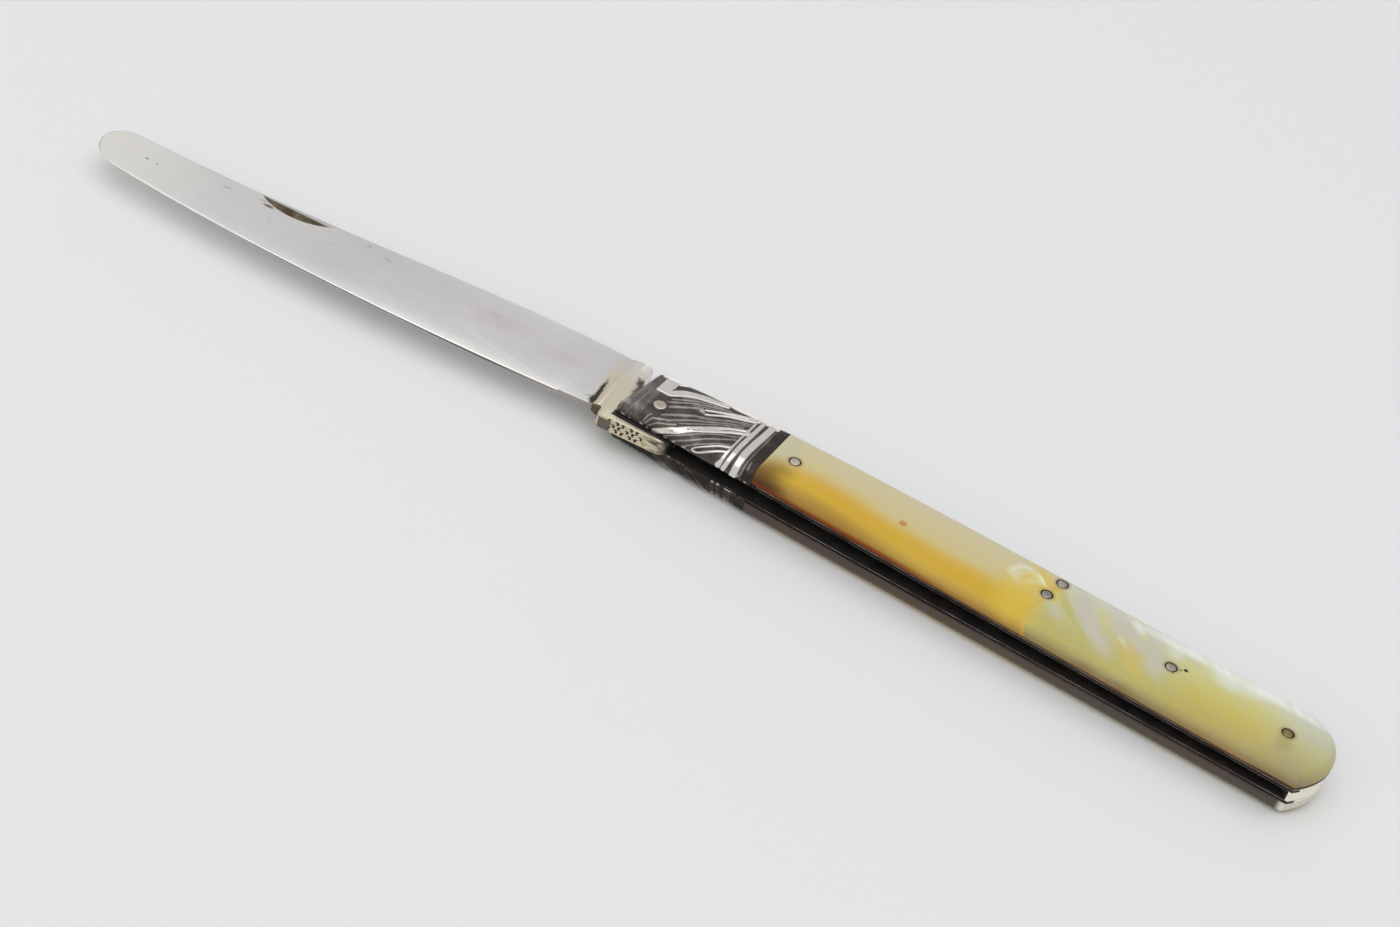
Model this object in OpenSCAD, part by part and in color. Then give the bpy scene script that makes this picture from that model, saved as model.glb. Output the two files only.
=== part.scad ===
// Folding silver-bladed pen knife with pearl scales, lying open on its rear scale.
// X runs from the blade tip to the butt, Y from the cutting edge to the back, Z up.
// Everything is drawn about the pivot pin and moved to the middle of the part at the end.

/* [Handle outline] */
// Pivot pin to the butt end
handle_len = 86.9; // [70:0.1:110]
// Pivot pin to the front end of the liners, along the belly
nose_len = 4.3; // [4:0.1:6]
// How far the front end leans back from the belly to the back
nose_lean = 0.9; // [0:0.1:2]
// Height of the back above the pivot at the front end
back_nose = 6.2; // [5:0.1:8]
// Height of the back above the pivot along the scales
back_height = 8.75; // [7:0.05:11]
// Depth of the belly below the pivot at the front end
belly_nose = 2.05; // [1.6:0.05:2.6]
// Depth of the belly below the pivot at the butt
belly_butt = 3.25; // [2.4:0.05:4]
// How far the belly swells out between its ends
belly_swell = 0.2; // [0.05:0.05:0.6]
// Length of the rounded butt
butt_round = 6.7; // [4:0.1:9]
// How far the butt slopes back to the belly corner
butt_rake = 2.4; // [1:0.1:4]

/* [Handle thickness] */
// Thickness of a pearl scale and of a bolster
scale_t = 1.95; // [1.2:0.05:2.6]
// Thickness of a liner
liner_t = 0.45; // [0.4:0.05:1.2]
// Room between the liners at the bolsters
slot_front = 2.0; // [1.6:0.05:2.6]
// Room between the liners at the butt
slot_butt = 1.3; // [1.1:0.05:1.6]
// Width of the rounded shoulder round a scale
crown_w = 1.3; // [0.8:0.1:2.2]
// Height of the plain edge under that shoulder
crown_edge = 0.6; // [0.2:0.1:1]

/* [Bolster] */
// Pivot pin to the rear end of a bolster
bolster_end = 14.3; // [11:0.1:18]
// Gap between a bolster and its scale
scale_gap = 0.05; // [0.02:0.01:0.2]
// Depth of the flutes and of the grooves between the collar ridges
flute_depth = 0.22; // [0.1:0.01:0.4]
// Width of a flute
flute_w = 0.5; // [0.3:0.05:0.8]
// Spacing of the flutes along the belly
flute_step = 1.15; // [0.9:0.05:1.6]
// Number of flutes
flute_count = 11; // [5:1:14]
// Pivot pin to the foot of the foremost flute
flute_start = 8.6; // [7:0.1:10]
// Radius of the sweep of a flute
flute_r = 30; // [20:1:60]
// Direction in which a flute leaves the belly
flute_angle = 52; // [40:1:65]
// Angle that a flute sweeps through on its way to the back
flute_sweep = 46; // [40:1:60]
// Length of the ridged collar at the rear of a bolster
collar_len = 2.9; // [2.4:0.1:4]
// Length of the plain band behind the collar
band_len = 1.3; // [0.8:0.1:2]
// Width of a groove between the collar ridges
groove_w = 0.22; // [0.15:0.01:0.4]
// Length of the grooved band at the front of a bolster
nose_band = 1.9; // [1.2:0.1:2.4]

/* [Pins] */
// Radius of the pivot pin
pivot_r = 0.8; // [0.6:0.05:1.1]
// Radius of the scale pins, the spring pin and the butt pin
pin_r = 0.65; // [0.45:0.05:0.8]
// Fit of a pin in its hole, on the radius
pin_fit = 0.01; // [0:0.005:0.03]
// Running clearance of the blade on the pivot pin, on the radius
pivot_play = 0.04; // [0.02:0.01:0.08]
// Height of the row of scale pins above the pivot
pin_line = 2.8; // [2.4:0.1:3.6]
// Front scale pin, behind the bolster
fore_pin_gap = 2.8; // [2:0.1:4]
// Butt pin, in from the butt end
butt_pin_in = 5.8; // [5:0.1:7]
// Middle pin, off half way between the front pin and the butt pin
mid_pin_shift = 1.1; // [-2:0.1:3]
// Middle pin, above the row
mid_pin_up = 1.0; // [0:0.1:1.5]
// Spring pin, behind the middle pin
spring_pin_back = 0.75; // [0:0.05:1.5]
// Spring pin, in from the back
spring_pin_in = 1.85; // [1.3:0.05:2.2]
// Rear scale pin, off half way between the middle pin and the butt pin
aft_pin_shift = 0.75; // [-2:0.05:2]

/* [Spring] */
// Height of the face that the blade rests on, above the pivot
seat_h = 3.5; // [3.2:0.1:4.2]
// Thickness of the spring behind its nose
spring_t = 3.0; // [2.6:0.05:3.4]
// Length of the nose of the spring behind the pivot
spring_nose = 3.4; // [3:0.1:4]
// Length of the ramp from the nose to the thin part
spring_ramp = 6.4; // [5:0.1:9]
// Metal round the butt pin
tail_wall = 0.65; // [0.5:0.05:1]

/* [Blade] */
// Gap between the closed blade's tip and the spring's tail
tip_gap = 0.6; // [0.4:0.05:1.5]
// How far short of a half turn the blade stops
fold_short = 1.5; // [0.8:0.1:4]
// Room that the closed blade's edge leaves under the spring, less the blade's tilt
edge_room = 2.65; // [2.5:0.05:4]
// Clearance between the tang and each liner
side_play = 0.05; // [0.03:0.01:0.1]
// How far the open blade droops below the line of the handle
droop = 4.5; // [2:0.1:8]
// Height of the blade's spine above the pivot at the heel
heel_height = 9.4; // [8:0.1:11]
// Height of the spine above the pivot at the tip
tip_spine = 7.85; // [7:0.05:9]
// Height of the lower side of the tip above the pivot
tip_belly = 0.5; // [0:0.1:2]
// Depth of the cutting edge below the pivot at the choil
choil_depth = 1.6; // [1.2:0.1:2]
// Pivot pin to the choil
choil_len = 7.6; // [6.8:0.1:9]
// Thickness of the spine at the shoulder
spine_t = 1.2; // [1:0.05:1.5]
// Thickness of the edge under the tip
tip_edge_t = 0.12; // [0.06:0.01:0.2]
// Distance from the pivot to the lower side of the tang
kick_depth = 3.3; // [3:0.1:3.4]
// Length of that side in front of the pivot, to the corner of the kick
kick_ahead = 5.9; // [5.4:0.1:6.2]
// Slope of the lower side of the tang
kick_slope = 4.8; // [3:0.1:8]
// Radius of the tang's rear corners
tang_r = 1.6; // [1:0.1:2.2]
// Length of the rounded shoulder between tang and blade
shoulder_len = 2.6; // [1.5:0.1:3.5]
// Length of the nail nick
nick_len = 11; // [8:0.1:14]
// Width of the nail nick
nick_w = 1.9; // [1.2:0.1:2.4]
// Depth of the nail nick
nick_depth = 0.26; // [0.15:0.01:0.32]
// Middle of the nail nick, from the tip
nick_from_tip = 26.8; // [20:0.1:34]

/* [Hidden] */
$fn = 32;

flute_facets = 6;

// Levels of the stack, from the face that the knife lies on
side_t = scale_t + liner_t;
slot_floor = side_t;
slot_roof = slot_floor + slot_front;
mid_z = slot_floor + slot_front / 2;
front_base = slot_roof + liner_t;
front_face = slot_roof + side_t;

// The front liner and scale close in on the rear ones behind the bolster
scale_start = bolster_end + scale_gap;
closing = atan((slot_front - slot_butt) / (handle_len - scale_start));
function drop(x) = max(0, x - scale_start) * tan(closing);

// A cubic curve from a to d, pulled towards b and c
function curve(a, b, c, d, n = 10) = [for (i = [0:n]) let (t = i / n)
    pow(1 - t, 3) * a + 3 * pow(1 - t, 2) * t * b + 3 * (1 - t) * t * t * c + pow(t, 3) * d];
function turn(p, a) = [p[0] * cos(a) - p[1] * sin(a), p[0] * sin(a) + p[1] * cos(a)];
function lowest(points, axis) = min([for (p = points) p[axis]]);
function highest(points, axis) = max([for (p = points) p[axis]]);

// Outline of the handle, from the front end along the back, round the butt and along the belly
butt_corner = [handle_len - butt_rake, -belly_butt];
back_start = [-nose_len + nose_lean, back_nose];
butt_start = [handle_len - butt_round, back_height];
back_pull = [bolster_end - 2, back_height - 0.3];
handle_back = curve(back_start, back_pull, [bolster_end + 12, back_height], butt_start, 16);
handle_butt = curve(butt_start, butt_start + [butt_round * 1.05, 0.6],
    [handle_len + 2.3, 2.2], butt_corner, 14);
belly_end = [-nose_len, -belly_nose];
handle_belly = curve(butt_corner, butt_corner * 0.62 + belly_end * 0.38 - [0, belly_swell],
    butt_corner * 0.28 + belly_end * 0.72 - [0, belly_swell], belly_end, 8);
handle_points = concat(handle_back, [for (i = [1:14]) handle_butt[i]],
    [for (i = [1:8]) handle_belly[i]]);

// Places of the pins
fore_pin = [bolster_end + fore_pin_gap, pin_line];
butt_pin_at = [handle_len - butt_pin_in, pin_line];
mid_pin = [(fore_pin[0] + butt_pin_at[0]) / 2 + mid_pin_shift, pin_line + mid_pin_up];
aft_pin = [(mid_pin[0] + butt_pin_at[0]) / 2 + aft_pin_shift, pin_line + 0.3];
spring_pin_at = [mid_pin[0] + spring_pin_back, back_height - spring_pin_in];
scale_pins = [fore_pin, mid_pin, aft_pin];
through_pins = [spring_pin_at, butt_pin_at];

// Underside of the spring: seat, ramp, long thin stretch, and round the butt pin to the belly
spring_under = back_height - spring_t;
tail_r = pin_r + tail_wall;
tail_side = [for (a = [110:20:210]) butt_pin_at + tail_r * [cos(a), sin(a)]];
spring_end = -nose_len + 0.1;
ramp_end = spring_nose + spring_ramp;
cavity_points = concat(
    [[-nose_len - 9, -belly_butt - 9], [-nose_len - 9, seat_h], [spring_nose, seat_h]],
    curve([spring_nose, seat_h], [spring_nose + 2, seat_h + 0.7],
        [ramp_end - 3, spring_under], [ramp_end, spring_under], 6),
    curve([ramp_end, spring_under], [butt_pin_at[0] - 30, spring_under],
        [butt_pin_at[0] - 8, spring_under], tail_side[0], 10),
    [for (i = [1:5]) tail_side[i]],
    curve(tail_side[5], tail_side[5] + [0.9, -2.2], butt_corner + [-0.9, 1.6],
        butt_corner + [-0.35, 0], 5),
    [butt_corner + [-0.35, -9]]);

// The blade lies along -X from the pivot before it is turned to its droop.
// It is as long as fits in the handle: the closed tip, a little below the middle of the slot,
// stops short of the sloping side of the spring's tail.
tail_slope = 0.69;
tip_middle = (tip_spine + tip_belly) / 2;
tip_reach = (tail_side[5][0] - tip_gap + tail_slope * (tail_side[5][1] + tip_middle))
    / (1 + tail_slope * sin(droop - fold_short));
edge_depth = spring_under - edge_room;
spine_curve = curve([-nose_len - 2.2, heel_height], [-0.35 * tip_reach, heel_height + 1.5],
    [-0.5 * tip_reach, tip_spine - 0.95], [-tip_reach + 3.7, tip_spine], 16);
tip_curve = curve([-tip_reach + 3.7, tip_spine], [-tip_reach - 1.9, tip_spine + 0.1],
    [-tip_reach - 0.3, tip_belly + 0.7], [-tip_reach + 4.2, tip_belly], 14);
edge_curve = curve([-tip_reach + 4.2, tip_belly], [-0.72 * tip_reach, 0.7 - edge_depth],
    [-0.35 * tip_reach, -edge_depth], [-choil_len, -choil_depth], 14);
blade_points = [for (p = concat(spine_curve, [for (i = [1:14]) tip_curve[i]],
    [for (i = [1:14]) edge_curve[i]])) turn(p, droop)];

// The tang is square to the handle when the knife is open
heel_x = -nose_len - 0.45;
heel_r = 1.3;
heel_top = turn([-nose_len - 2.2, heel_height], droop)[1];
heel_corner = [for (a = [10:20:70]) [heel_x - heel_r, heel_top - heel_r]
    + heel_r * [cos(a), sin(a)]];
tang_end = spring_nose;
kick_dir = [cos(kick_slope), sin(kick_slope)];
kick_foot = kick_depth * [sin(kick_slope), -cos(kick_slope)];
kick_corner = kick_foot - kick_ahead * kick_dir;
top_corner = [for (a = [90:-15:0]) [tang_end - tang_r, seat_h - tang_r]
    + tang_r * [cos(a), sin(a)]];
low_centre = kick_foot + [0, tang_r / cos(kick_slope)]
    + kick_dir * ((tang_end - tang_r - kick_foot[0]) / kick_dir[0]);
low_corner = [for (a = [0:-15:-90]) low_centre + tang_r * [cos(a), sin(a)]];
choil_points = [kick_corner + [-1.2, 1.5], kick_corner + [-0.8, 1.55], kick_corner + [-0.45, 1.2],
    kick_corner + [-0.35, 0.3]];
blade_outline = concat([[heel_x, seat_h]], heel_corner, blade_points, choil_points,
    [kick_corner + 0.1 * kick_dir], [for (i = [6:-1:0]) low_corner[i]],
    [for (i = [6:-1:0]) top_corner[i]]);

// Slope of the blade's faces: half thickness is a plane over the blade
tip_half = slot_butt - slot_front / 2 - side_play;
wedge_y = (tip_half - tip_edge_t / 2) / (tip_spine - tip_belly);
wedge_x = (spine_t / 2 - tip_half + wedge_y * (tip_spine - heel_height)) / (tip_reach - choil_len);
wedge_norm = norm([wedge_x, wedge_y, 1]);
choil_half = spine_t / 2 - wedge_y * (heel_height + choil_depth);

// The whole part is moved so that its box is centred and stands on the floor
part_box = [[min(lowest(blade_outline, 0), lowest(handle_points, 0)),
        min(lowest(blade_outline, 1), lowest(handle_points, 1))],
    [max(highest(blade_outline, 0), highest(handle_points, 0)),
        max(highest(blade_outline, 1), highest(handle_points, 1))]];
home = -(part_box[0] + part_box[1]) / 2;

module place() {
    translate([home[0], home[1], 0]) children();
}

// Swings what lies behind the bolster down towards the butt
module close_in() {
    translate([scale_start, 0, front_base])
        rotate([0, closing, 0])
            translate([-scale_start, 0, 0]) children();
}

// A straight pin or bore between two heights
module post(at, r, z0, z1) {
    translate([at[0], at[1], z0]) cylinder(r = r, h = z1 - z0);
}

// The handle's outline drawn in by a distance, at a height
function outward(a, b) = [a[1] - b[1], b[0] - a[0]] / norm(b - a);
function ring(inset, z) = let (n = len(handle_points)) [for (i = [0:n - 1]) let (
        here = handle_points[i],
        n1 = outward(handle_points[(i + n - 1) % n], here),
        n2 = outward(here, handle_points[(i + 1) % n]),
        p = here - inset * (n1 + n2) / (1 + n1 * n2))
    [p[0], p[1], z]];

// Handle outline with a rounded shoulder, lying on Z = 0 and crowned upwards
module crowned(inset = 0) {
    n = len(handle_points);
    rings = concat([ring(inset, 0)], [for (a = [0:22.5:90])
        ring(crown_w * (1 - cos(a)) + inset, crown_edge - inset + (scale_t - crown_edge) * sin(a))]);
    top = len(rings) - 1;
    polyhedron(points = [for (r = rings, p = r) p], faces = concat(
        [[for (i = [n - 1:-1:0]) i]], [[for (i = [0:n - 1]) top * n + i]],
        [for (k = [0:top - 1], i = [0:n - 1]) let (j = (i + 1) % n)
            [k * n + i, k * n + j, (k + 1) * n + j, (k + 1) * n + i]]));
}

// Box from x0 to x1 that is wider and taller than the handle
module stretch(x0, x1) {
    translate([x0, -30, -5]) cube([x1 - x0, 60, 20]);
}

module scale_blank() {
    intersection() {
        crowned();
        stretch(scale_start, handle_len + 5);
    }
}

// A flute seen from above: a band along an arc that leaves the belly at flute_angle
function flute_band(foot) = let (
        centre = foot + flute_r * [sin(flute_angle), -cos(flute_angle)],
        sweep = [for (i = [0:flute_facets]) 92 + flute_angle - i * flute_sweep / flute_facets],
        outer = [for (a = sweep) centre + (flute_r + flute_w / 2) * [cos(a), sin(a)]],
        inner = [for (a = sweep) centre + (flute_r - flute_w / 2) * [cos(a), sin(a)]])
    concat(outer, [for (i = [flute_facets:-1:0]) inner[i]]);

// Tall curved walls along the flutes, and straight ones along the collar and the front band
module bolster_grooves() {
    fluted_end = bolster_end - band_len - collar_len;
    intersection() {
        stretch(-nose_len + nose_band + 0.5, fluted_end);
        for (i = [0:flute_count - 1]) {
            translate([0, 0, 0.2]) linear_extrude(5)
                polygon(flute_band([-flute_start + i * flute_step, -belly_nose]));
        }
    }
    for (x = [0, 0.25, 0.52, 0.92]) {
        translate([fluted_end + x * collar_len, -30, 0.2]) cube([groove_w, 60, 5]);
    }
    for (x = [0.35, 0.85]) {
        translate([-nose_len + nose_lean / 2 + x * nose_band, -30, 0.2])
            cube([groove_w, 60, 5]);
    }
}

module bolster_blank() {
    difference() {
        intersection() {
            crowned();
            stretch(-nose_len - 5, bolster_end);
        }
        difference() {
            bolster_grooves();
            crowned(flute_depth);
        }
    }
}

module front_holes(points, r) {
    for (p = points) post(p, r + pin_fit, slot_floor, front_face + 1);
}

module rear_holes(points, r) {
    for (p = points) post(p, r + pin_fit, -1, slot_roof);
}

module blade() {
    color("gainsboro") place() difference() {
        union() {
            intersection() {
                linear_extrude(front_face) polygon(blade_outline);
                translate([0, 0, mid_z]) rotate([0, 0, droop]) blade_wedge();
            }
            intersection() {
                linear_extrude(front_face) polygon(blade_outline);
                translate([0, 0, mid_z]) rotate([0, 0, droop]) tang_body();
            }
        }
        post([0, 0], pivot_r + pivot_play, 0, front_face);
        translate([0, 0, mid_z]) rotate([0, 0, droop]) nail_nick();
    }
}

// Space between the two sloping faces of the blade
module blade_wedge() {
    tilt_x = asin(wedge_y / wedge_norm);
    tilt_y = atan(-wedge_x);
    heel = [-choil_len, heel_height, spine_t / 2];
    intersection() {
        translate(heel) rotate([tilt_x, tilt_y, 0])
            translate([-120, -60, -20]) cube([160, 80, 20]);
        mirror([0, 0, 1]) translate(heel) rotate([tilt_x, tilt_y, 0])
            translate([-120, -60, -20]) cube([160, 80, 20]);
    }
}

// Full thickness at the tang, rounded down until it dips into the blade just in front of the choil
module tang_body() {
    half = slot_front / 2 - side_play;
    dip = 0.05;
    fall = half - choil_half + dip;
    shoulder = [for (a = [0:10:90]) [-choil_len - dip * 3 + shoulder_len * (1 - sin(a)),
        half - fall * (1 - cos(a))]];
    upper = concat([[tang_end + 1, half]], shoulder);
    rotate([90, 0, 0]) linear_extrude(60, center = true)
        polygon(concat(upper, [for (i = [len(upper) - 1:-1:0]) [upper[i][0], -upper[i][1]]]));
}

// Crescent sunk in the upper face, shallow at the spine and deep at its rim
module nail_nick() {
    r = (pow(nick_len / 2, 2) + pow(nick_w, 2)) / (2 * nick_w);
    x = -tip_reach + nick_from_tip;
    face = spine_t / 2 - wedge_x * (-x - choil_len) + wedge_y * (tip_spine - heel_height);
    translate([x, tip_spine + 0.05, face])
        rotate([atan(nick_depth / nick_w), 0, 0])
            translate([0, r - nick_w, 0]) cylinder(r = r, h = 3, $fn = 96);
}

module back_spring() {
    color("darkgray") place() difference() {
        intersection() {
            linear_extrude(front_face) difference() {
                polygon(handle_points);
                polygon(cavity_points);
            }
            translate([spring_end, -30, 0]) cube([handle_len + 20, 60, front_face]);
            slot_space();
        }
        for (p = through_pins) post(p, pin_r + pin_fit, 0, front_face);
    }
}

// Space between the liners, seen from the side
module slot_space() {
    far = handle_len + 10;
    rotate([90, 0, 0]) linear_extrude(60, center = true)
        polygon([[-nose_len - 10, slot_floor], [far, slot_floor],
            [far, slot_roof - drop(far)], [scale_start, slot_roof], [-nose_len - 10, slot_roof]]);
}

module front_liner() {
    far = handle_len + 10;
    color("dimgray") place() difference() {
        intersection() {
            linear_extrude(front_face) polygon(handle_points);
            rotate([90, 0, 0]) linear_extrude(60, center = true)
                polygon([[-nose_len - 10, slot_roof], [scale_start, slot_roof],
                    [far, slot_roof - drop(far)], [far, front_base - drop(far)],
                    [scale_start, front_base], [-nose_len - 10, front_base]]);
        }
        front_holes(concat(scale_pins, through_pins), pin_r);
        front_holes([[0, 0]], pivot_r);
    }
}

module rear_liner() {
    color("dimgray") place() difference() {
        translate([0, 0, scale_t]) linear_extrude(liner_t) polygon(handle_points);
        rear_holes(concat(scale_pins, through_pins), pin_r);
        rear_holes([[0, 0]], pivot_r);
    }
}

module front_bolster() {
    color("silver") place() difference() {
        translate([0, 0, front_base]) bolster_blank();
        front_holes([[0, 0]], pivot_r);
    }
}

module rear_bolster() {
    color("silver") place() difference() {
        translate([0, 0, scale_t]) mirror([0, 0, 1]) bolster_blank();
        rear_holes([[0, 0]], pivot_r);
    }
}

module front_scale() {
    color("palegoldenrod") place() difference() {
        close_in() scale_blank();
        front_holes(concat(scale_pins, through_pins), pin_r);
    }
}

module rear_scale() {
    color("palegoldenrod") place() difference() {
        translate([0, 0, scale_t]) mirror([0, 0, 1]) scale_blank();
        rear_holes(concat(scale_pins, through_pins), pin_r);
    }
}

module pivot_pin() {
    color("lightgray") place() post([0, 0], pivot_r, 0, front_face);
}

// Pin through both sides of the handle, filed flush
module through_pin(at) {
    color("lightgray") place() post(at, pin_r, 0, front_face - drop(at[0]));
}

// Pins that hold a scale to its liner and stop short of the blade's slot
module front_scale_pin(at) {
    color("lightgray") place() post(at, pin_r, slot_roof - drop(at[0]), front_face - drop(at[0]));
}

module rear_scale_pin(at) {
    color("lightgray") place() post(at, pin_r, 0, slot_floor);
}

blade();
back_spring();
front_liner();
rear_liner();
front_bolster();
rear_bolster();
front_scale();
rear_scale();
pivot_pin();
through_pin(spring_pin_at);  // spring_pin
through_pin(butt_pin_at);  // butt_pin
front_scale_pin(fore_pin);  // front_scale_pin_fore
front_scale_pin(mid_pin);  // front_scale_pin_mid
front_scale_pin(aft_pin);  // front_scale_pin_aft
rear_scale_pin(fore_pin);  // rear_scale_pin_fore
rear_scale_pin(mid_pin);  // rear_scale_pin_mid
rear_scale_pin(aft_pin);  // rear_scale_pin_aft
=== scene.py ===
# %% [markdown]
# A slim folding pen knife lies open on its rear side: a broad silver blade, fluted silver bolsters,
# scales of mother of pearl, and a spring along the back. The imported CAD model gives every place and
# every joint, so this script only adds looks: finer meshes where the light shows them, and metals
# and nacre that are worked out by nodes.

# %% Load the frame
import math
import bpy
import bmesh
import numpy as np
from mathutils import Matrix, Vector


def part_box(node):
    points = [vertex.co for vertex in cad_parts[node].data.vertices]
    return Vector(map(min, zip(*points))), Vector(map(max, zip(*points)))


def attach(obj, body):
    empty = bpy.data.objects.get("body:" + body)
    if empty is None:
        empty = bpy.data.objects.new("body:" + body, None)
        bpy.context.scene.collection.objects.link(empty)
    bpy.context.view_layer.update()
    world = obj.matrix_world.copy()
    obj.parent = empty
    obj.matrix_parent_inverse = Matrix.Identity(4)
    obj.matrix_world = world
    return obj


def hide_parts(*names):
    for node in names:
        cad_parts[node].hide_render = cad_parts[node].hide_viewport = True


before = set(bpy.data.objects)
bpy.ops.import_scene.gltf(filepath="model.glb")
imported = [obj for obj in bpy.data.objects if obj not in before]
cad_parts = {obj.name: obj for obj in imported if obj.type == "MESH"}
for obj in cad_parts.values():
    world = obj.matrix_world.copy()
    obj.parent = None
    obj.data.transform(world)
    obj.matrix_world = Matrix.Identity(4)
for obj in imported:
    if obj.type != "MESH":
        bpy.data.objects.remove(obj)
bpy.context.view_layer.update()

# %% [markdown]
# The knife was drawn about its pivot pin, in millimetres, so its own measures are easiest to read
# that way too. Every place below is written as millimetres along, across and up from the pin, and
# one short helper turns them into the frame's metres. The pin's own box says where it stands.

# %% Places in millimetres
MM = 0.001
pin_low, pin_high = (Vector(corner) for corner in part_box("pivot_pin"))
PIVOT = (pin_low + pin_high) / 2
scene = bpy.context.scene


def place(x, y, z=0.0):
    return Vector((PIVOT.x + x * MM, PIVOT.y + y * MM, z * MM))


def added(name, data):
    """A new object that is already in the scene."""
    made = bpy.data.objects.new(name, data)
    scene.collection.objects.link(made)
    return made


print("pivot at", [round(v / MM, 3) for v in PIVOT], "mm")

# %% [markdown]
# The camera stands where the photographer's did. The pin heads are round on the real knife, so the
# shape of their ellipses gave the height and tilt of the lens. The turn is built from three
# directions: ahead, to the right, and the small roll of a camera held by hand.

# %% Camera
IMAGE_WIDTH, FOCAL_PIXELS, SENSOR = 1400, 2600, 36.0
LOOK_DOWN, ROLL = math.radians(37.6), math.radians(-17.5)
STANDS_AT, FACES = (81.99, -232.096, 189.78), (-0.3078, 0.9515, 0)
ahead = Vector(FACES).normalized()
right = Vector((ahead.y, -ahead.x, 0))
look = ahead * math.cos(LOOK_DOWN) - Vector((0, 0, math.sin(LOOK_DOWN)))
down = look.cross(right)
side = right * math.cos(ROLL) + down * math.sin(ROLL)
foot = down * math.cos(ROLL) - right * math.sin(ROLL)

lens = bpy.data.cameras.new("camera")
lens.sensor_width = SENSOR
lens.lens = FOCAL_PIXELS / IMAGE_WIDTH * SENSOR
lens.clip_start, lens.clip_end = 0.01, 10
camera = added("camera", lens)
turn = Matrix((side, -foot, -look)).transposed().to_4x4()
camera.matrix_world = Matrix.Translation(place(*STANDS_AT)) @ turn
scene.camera = camera
scene.view_settings.view_transform = "Standard"
print("camera at", [round(v / MM) for v in camera.location], "mm, lens", round(lens.lens, 1))

# %% [markdown]
# Node materials are easier to read when each node takes one line. The first helper gives an input a
# plain value or what another node puts out, and the second adds a node with all its inputs. The
# others are short names for what is used most: a value moved to another range, a colour as it is
# read off a screen, and a ramp of such colours. So a material becomes a short list of steps.


# %% Node helpers
def plug(tree, socket, value):
    """Give a socket what another node puts out, or a plain value."""
    if isinstance(value, bpy.types.NodeSocket):
        tree.links.new(value, socket)
    else:
        socket.default_value = value


def node(tree, kind, inputs=None, **settings):
    made = tree.nodes.new(kind)
    for key, value in settings.items():
        setattr(made, key, value)
    for key, value in (inputs or {}).items():
        plug(tree, made.inputs[key], value)
    return made


def span(tree, value, low, high, to_low=0.0, to_high=1.0, smooth=False):
    """The value moved from one range to another, and held at both ends."""
    return node(tree, "ShaderNodeMapRange", {0: value, 1: low, 2: high, 3: to_low, 4: to_high},
                interpolation_type="SMOOTHSTEP" if smooth else "LINEAR").outputs[0]


print("helpers for nodes and ranges")


# %% Colour helpers
def srgb(red, green, blue):
    """A colour as it is read off a screen, from 0 to 255, in the linear light that nodes use."""
    def one(c):
        c /= 255
        return c / 12.92 if c <= 0.04045 else ((c + 0.055) / 1.055) ** 2.4
    return (one(red), one(green), one(blue), 1)


def ramp(tree, value, stops, smooth=False):
    made = node(tree, "ShaderNodeValToRGB", {0: value})
    made.color_ramp.interpolation = "EASE" if smooth else "LINEAR"
    elements = made.color_ramp.elements
    while len(elements) < len(stops):
        elements.new(0.5)
    for element, (position, colour) in zip(elements, stops):
        element.position, element.color = position, colour
    return made.outputs[0]


print("a middle grey of 128 is", round(srgb(128, 128, 128)[0], 3), "in linear light")

# %% [markdown]
# Metal shows what stands round it more than its own colour, so the studio matters as much as the
# silver. The knife lies on a pale floor. A broad soft window overhead, a small low one behind it
# and a weak fill from the front light it, and the world is an even pale grey that is a little
# brighter overhead than at the horizon.


# %% Floor
def new_material(name, **plain):
    material = bpy.data.materials.new(name)
    material.use_nodes = True
    shader = material.node_tree.nodes["Principled BSDF"]
    for key, value in plain.items():
        shader.inputs[key.replace("_", " ")].default_value = value
    return material, material.node_tree, shader


FLOOR_GAP = 0.1  # millimetres below the knife, whose flat parts would share its plane
floor_bm = bmesh.new()
bmesh.ops.create_grid(floor_bm, x_segments=1, y_segments=1, size=3.0)
bmesh.ops.translate(floor_bm, verts=floor_bm.verts[:], vec=(0, 0, -FLOOR_GAP * MM))
floor_mesh = bpy.data.meshes.new("floor")
floor_bm.to_mesh(floor_mesh)
floor_bm.free()
floor = added("floor", floor_mesh)
paper, tree, shader = new_material("pale_floor", Roughness=0.9, Specular_IOR_Level=0.1,
                                   Base_Color=srgb(231, 232, 232))
floor_mesh.materials.append(paper)
print("floor on", paper.name)

# %% World and lamps
world = bpy.data.worlds.new("studio")
scene.world = world
world.use_nodes = True
tree = world.node_tree
sky = node(tree, "ShaderNodeTexCoord").outputs["Generated"]
height = node(tree, "ShaderNodeSeparateXYZ", {0: sky}).outputs[2]
greys = ramp(tree, span(tree, height, -0.1, 1.0), [
    (0.0, srgb(196, 196, 197)), (0.35, srgb(206, 206, 206)), (0.6, srgb(216, 216, 215)),
    (1.0, srgb(212, 213, 214))])
background = tree.nodes["Background"].inputs
plug(tree, background["Color"], greys)
plug(tree, background["Strength"], 0.85)


def soft_light(name, at, size, power):
    """A round lamp that looks at the knife."""
    lamp = bpy.data.lights.new(name, "AREA")
    lamp.shape, lamp.size, lamp.energy = "DISK", size, power
    made = added(name, lamp)
    made.location = at
    made.rotation_euler = (-Vector(at)).to_track_quat("-Z", "Y").to_euler()


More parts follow.
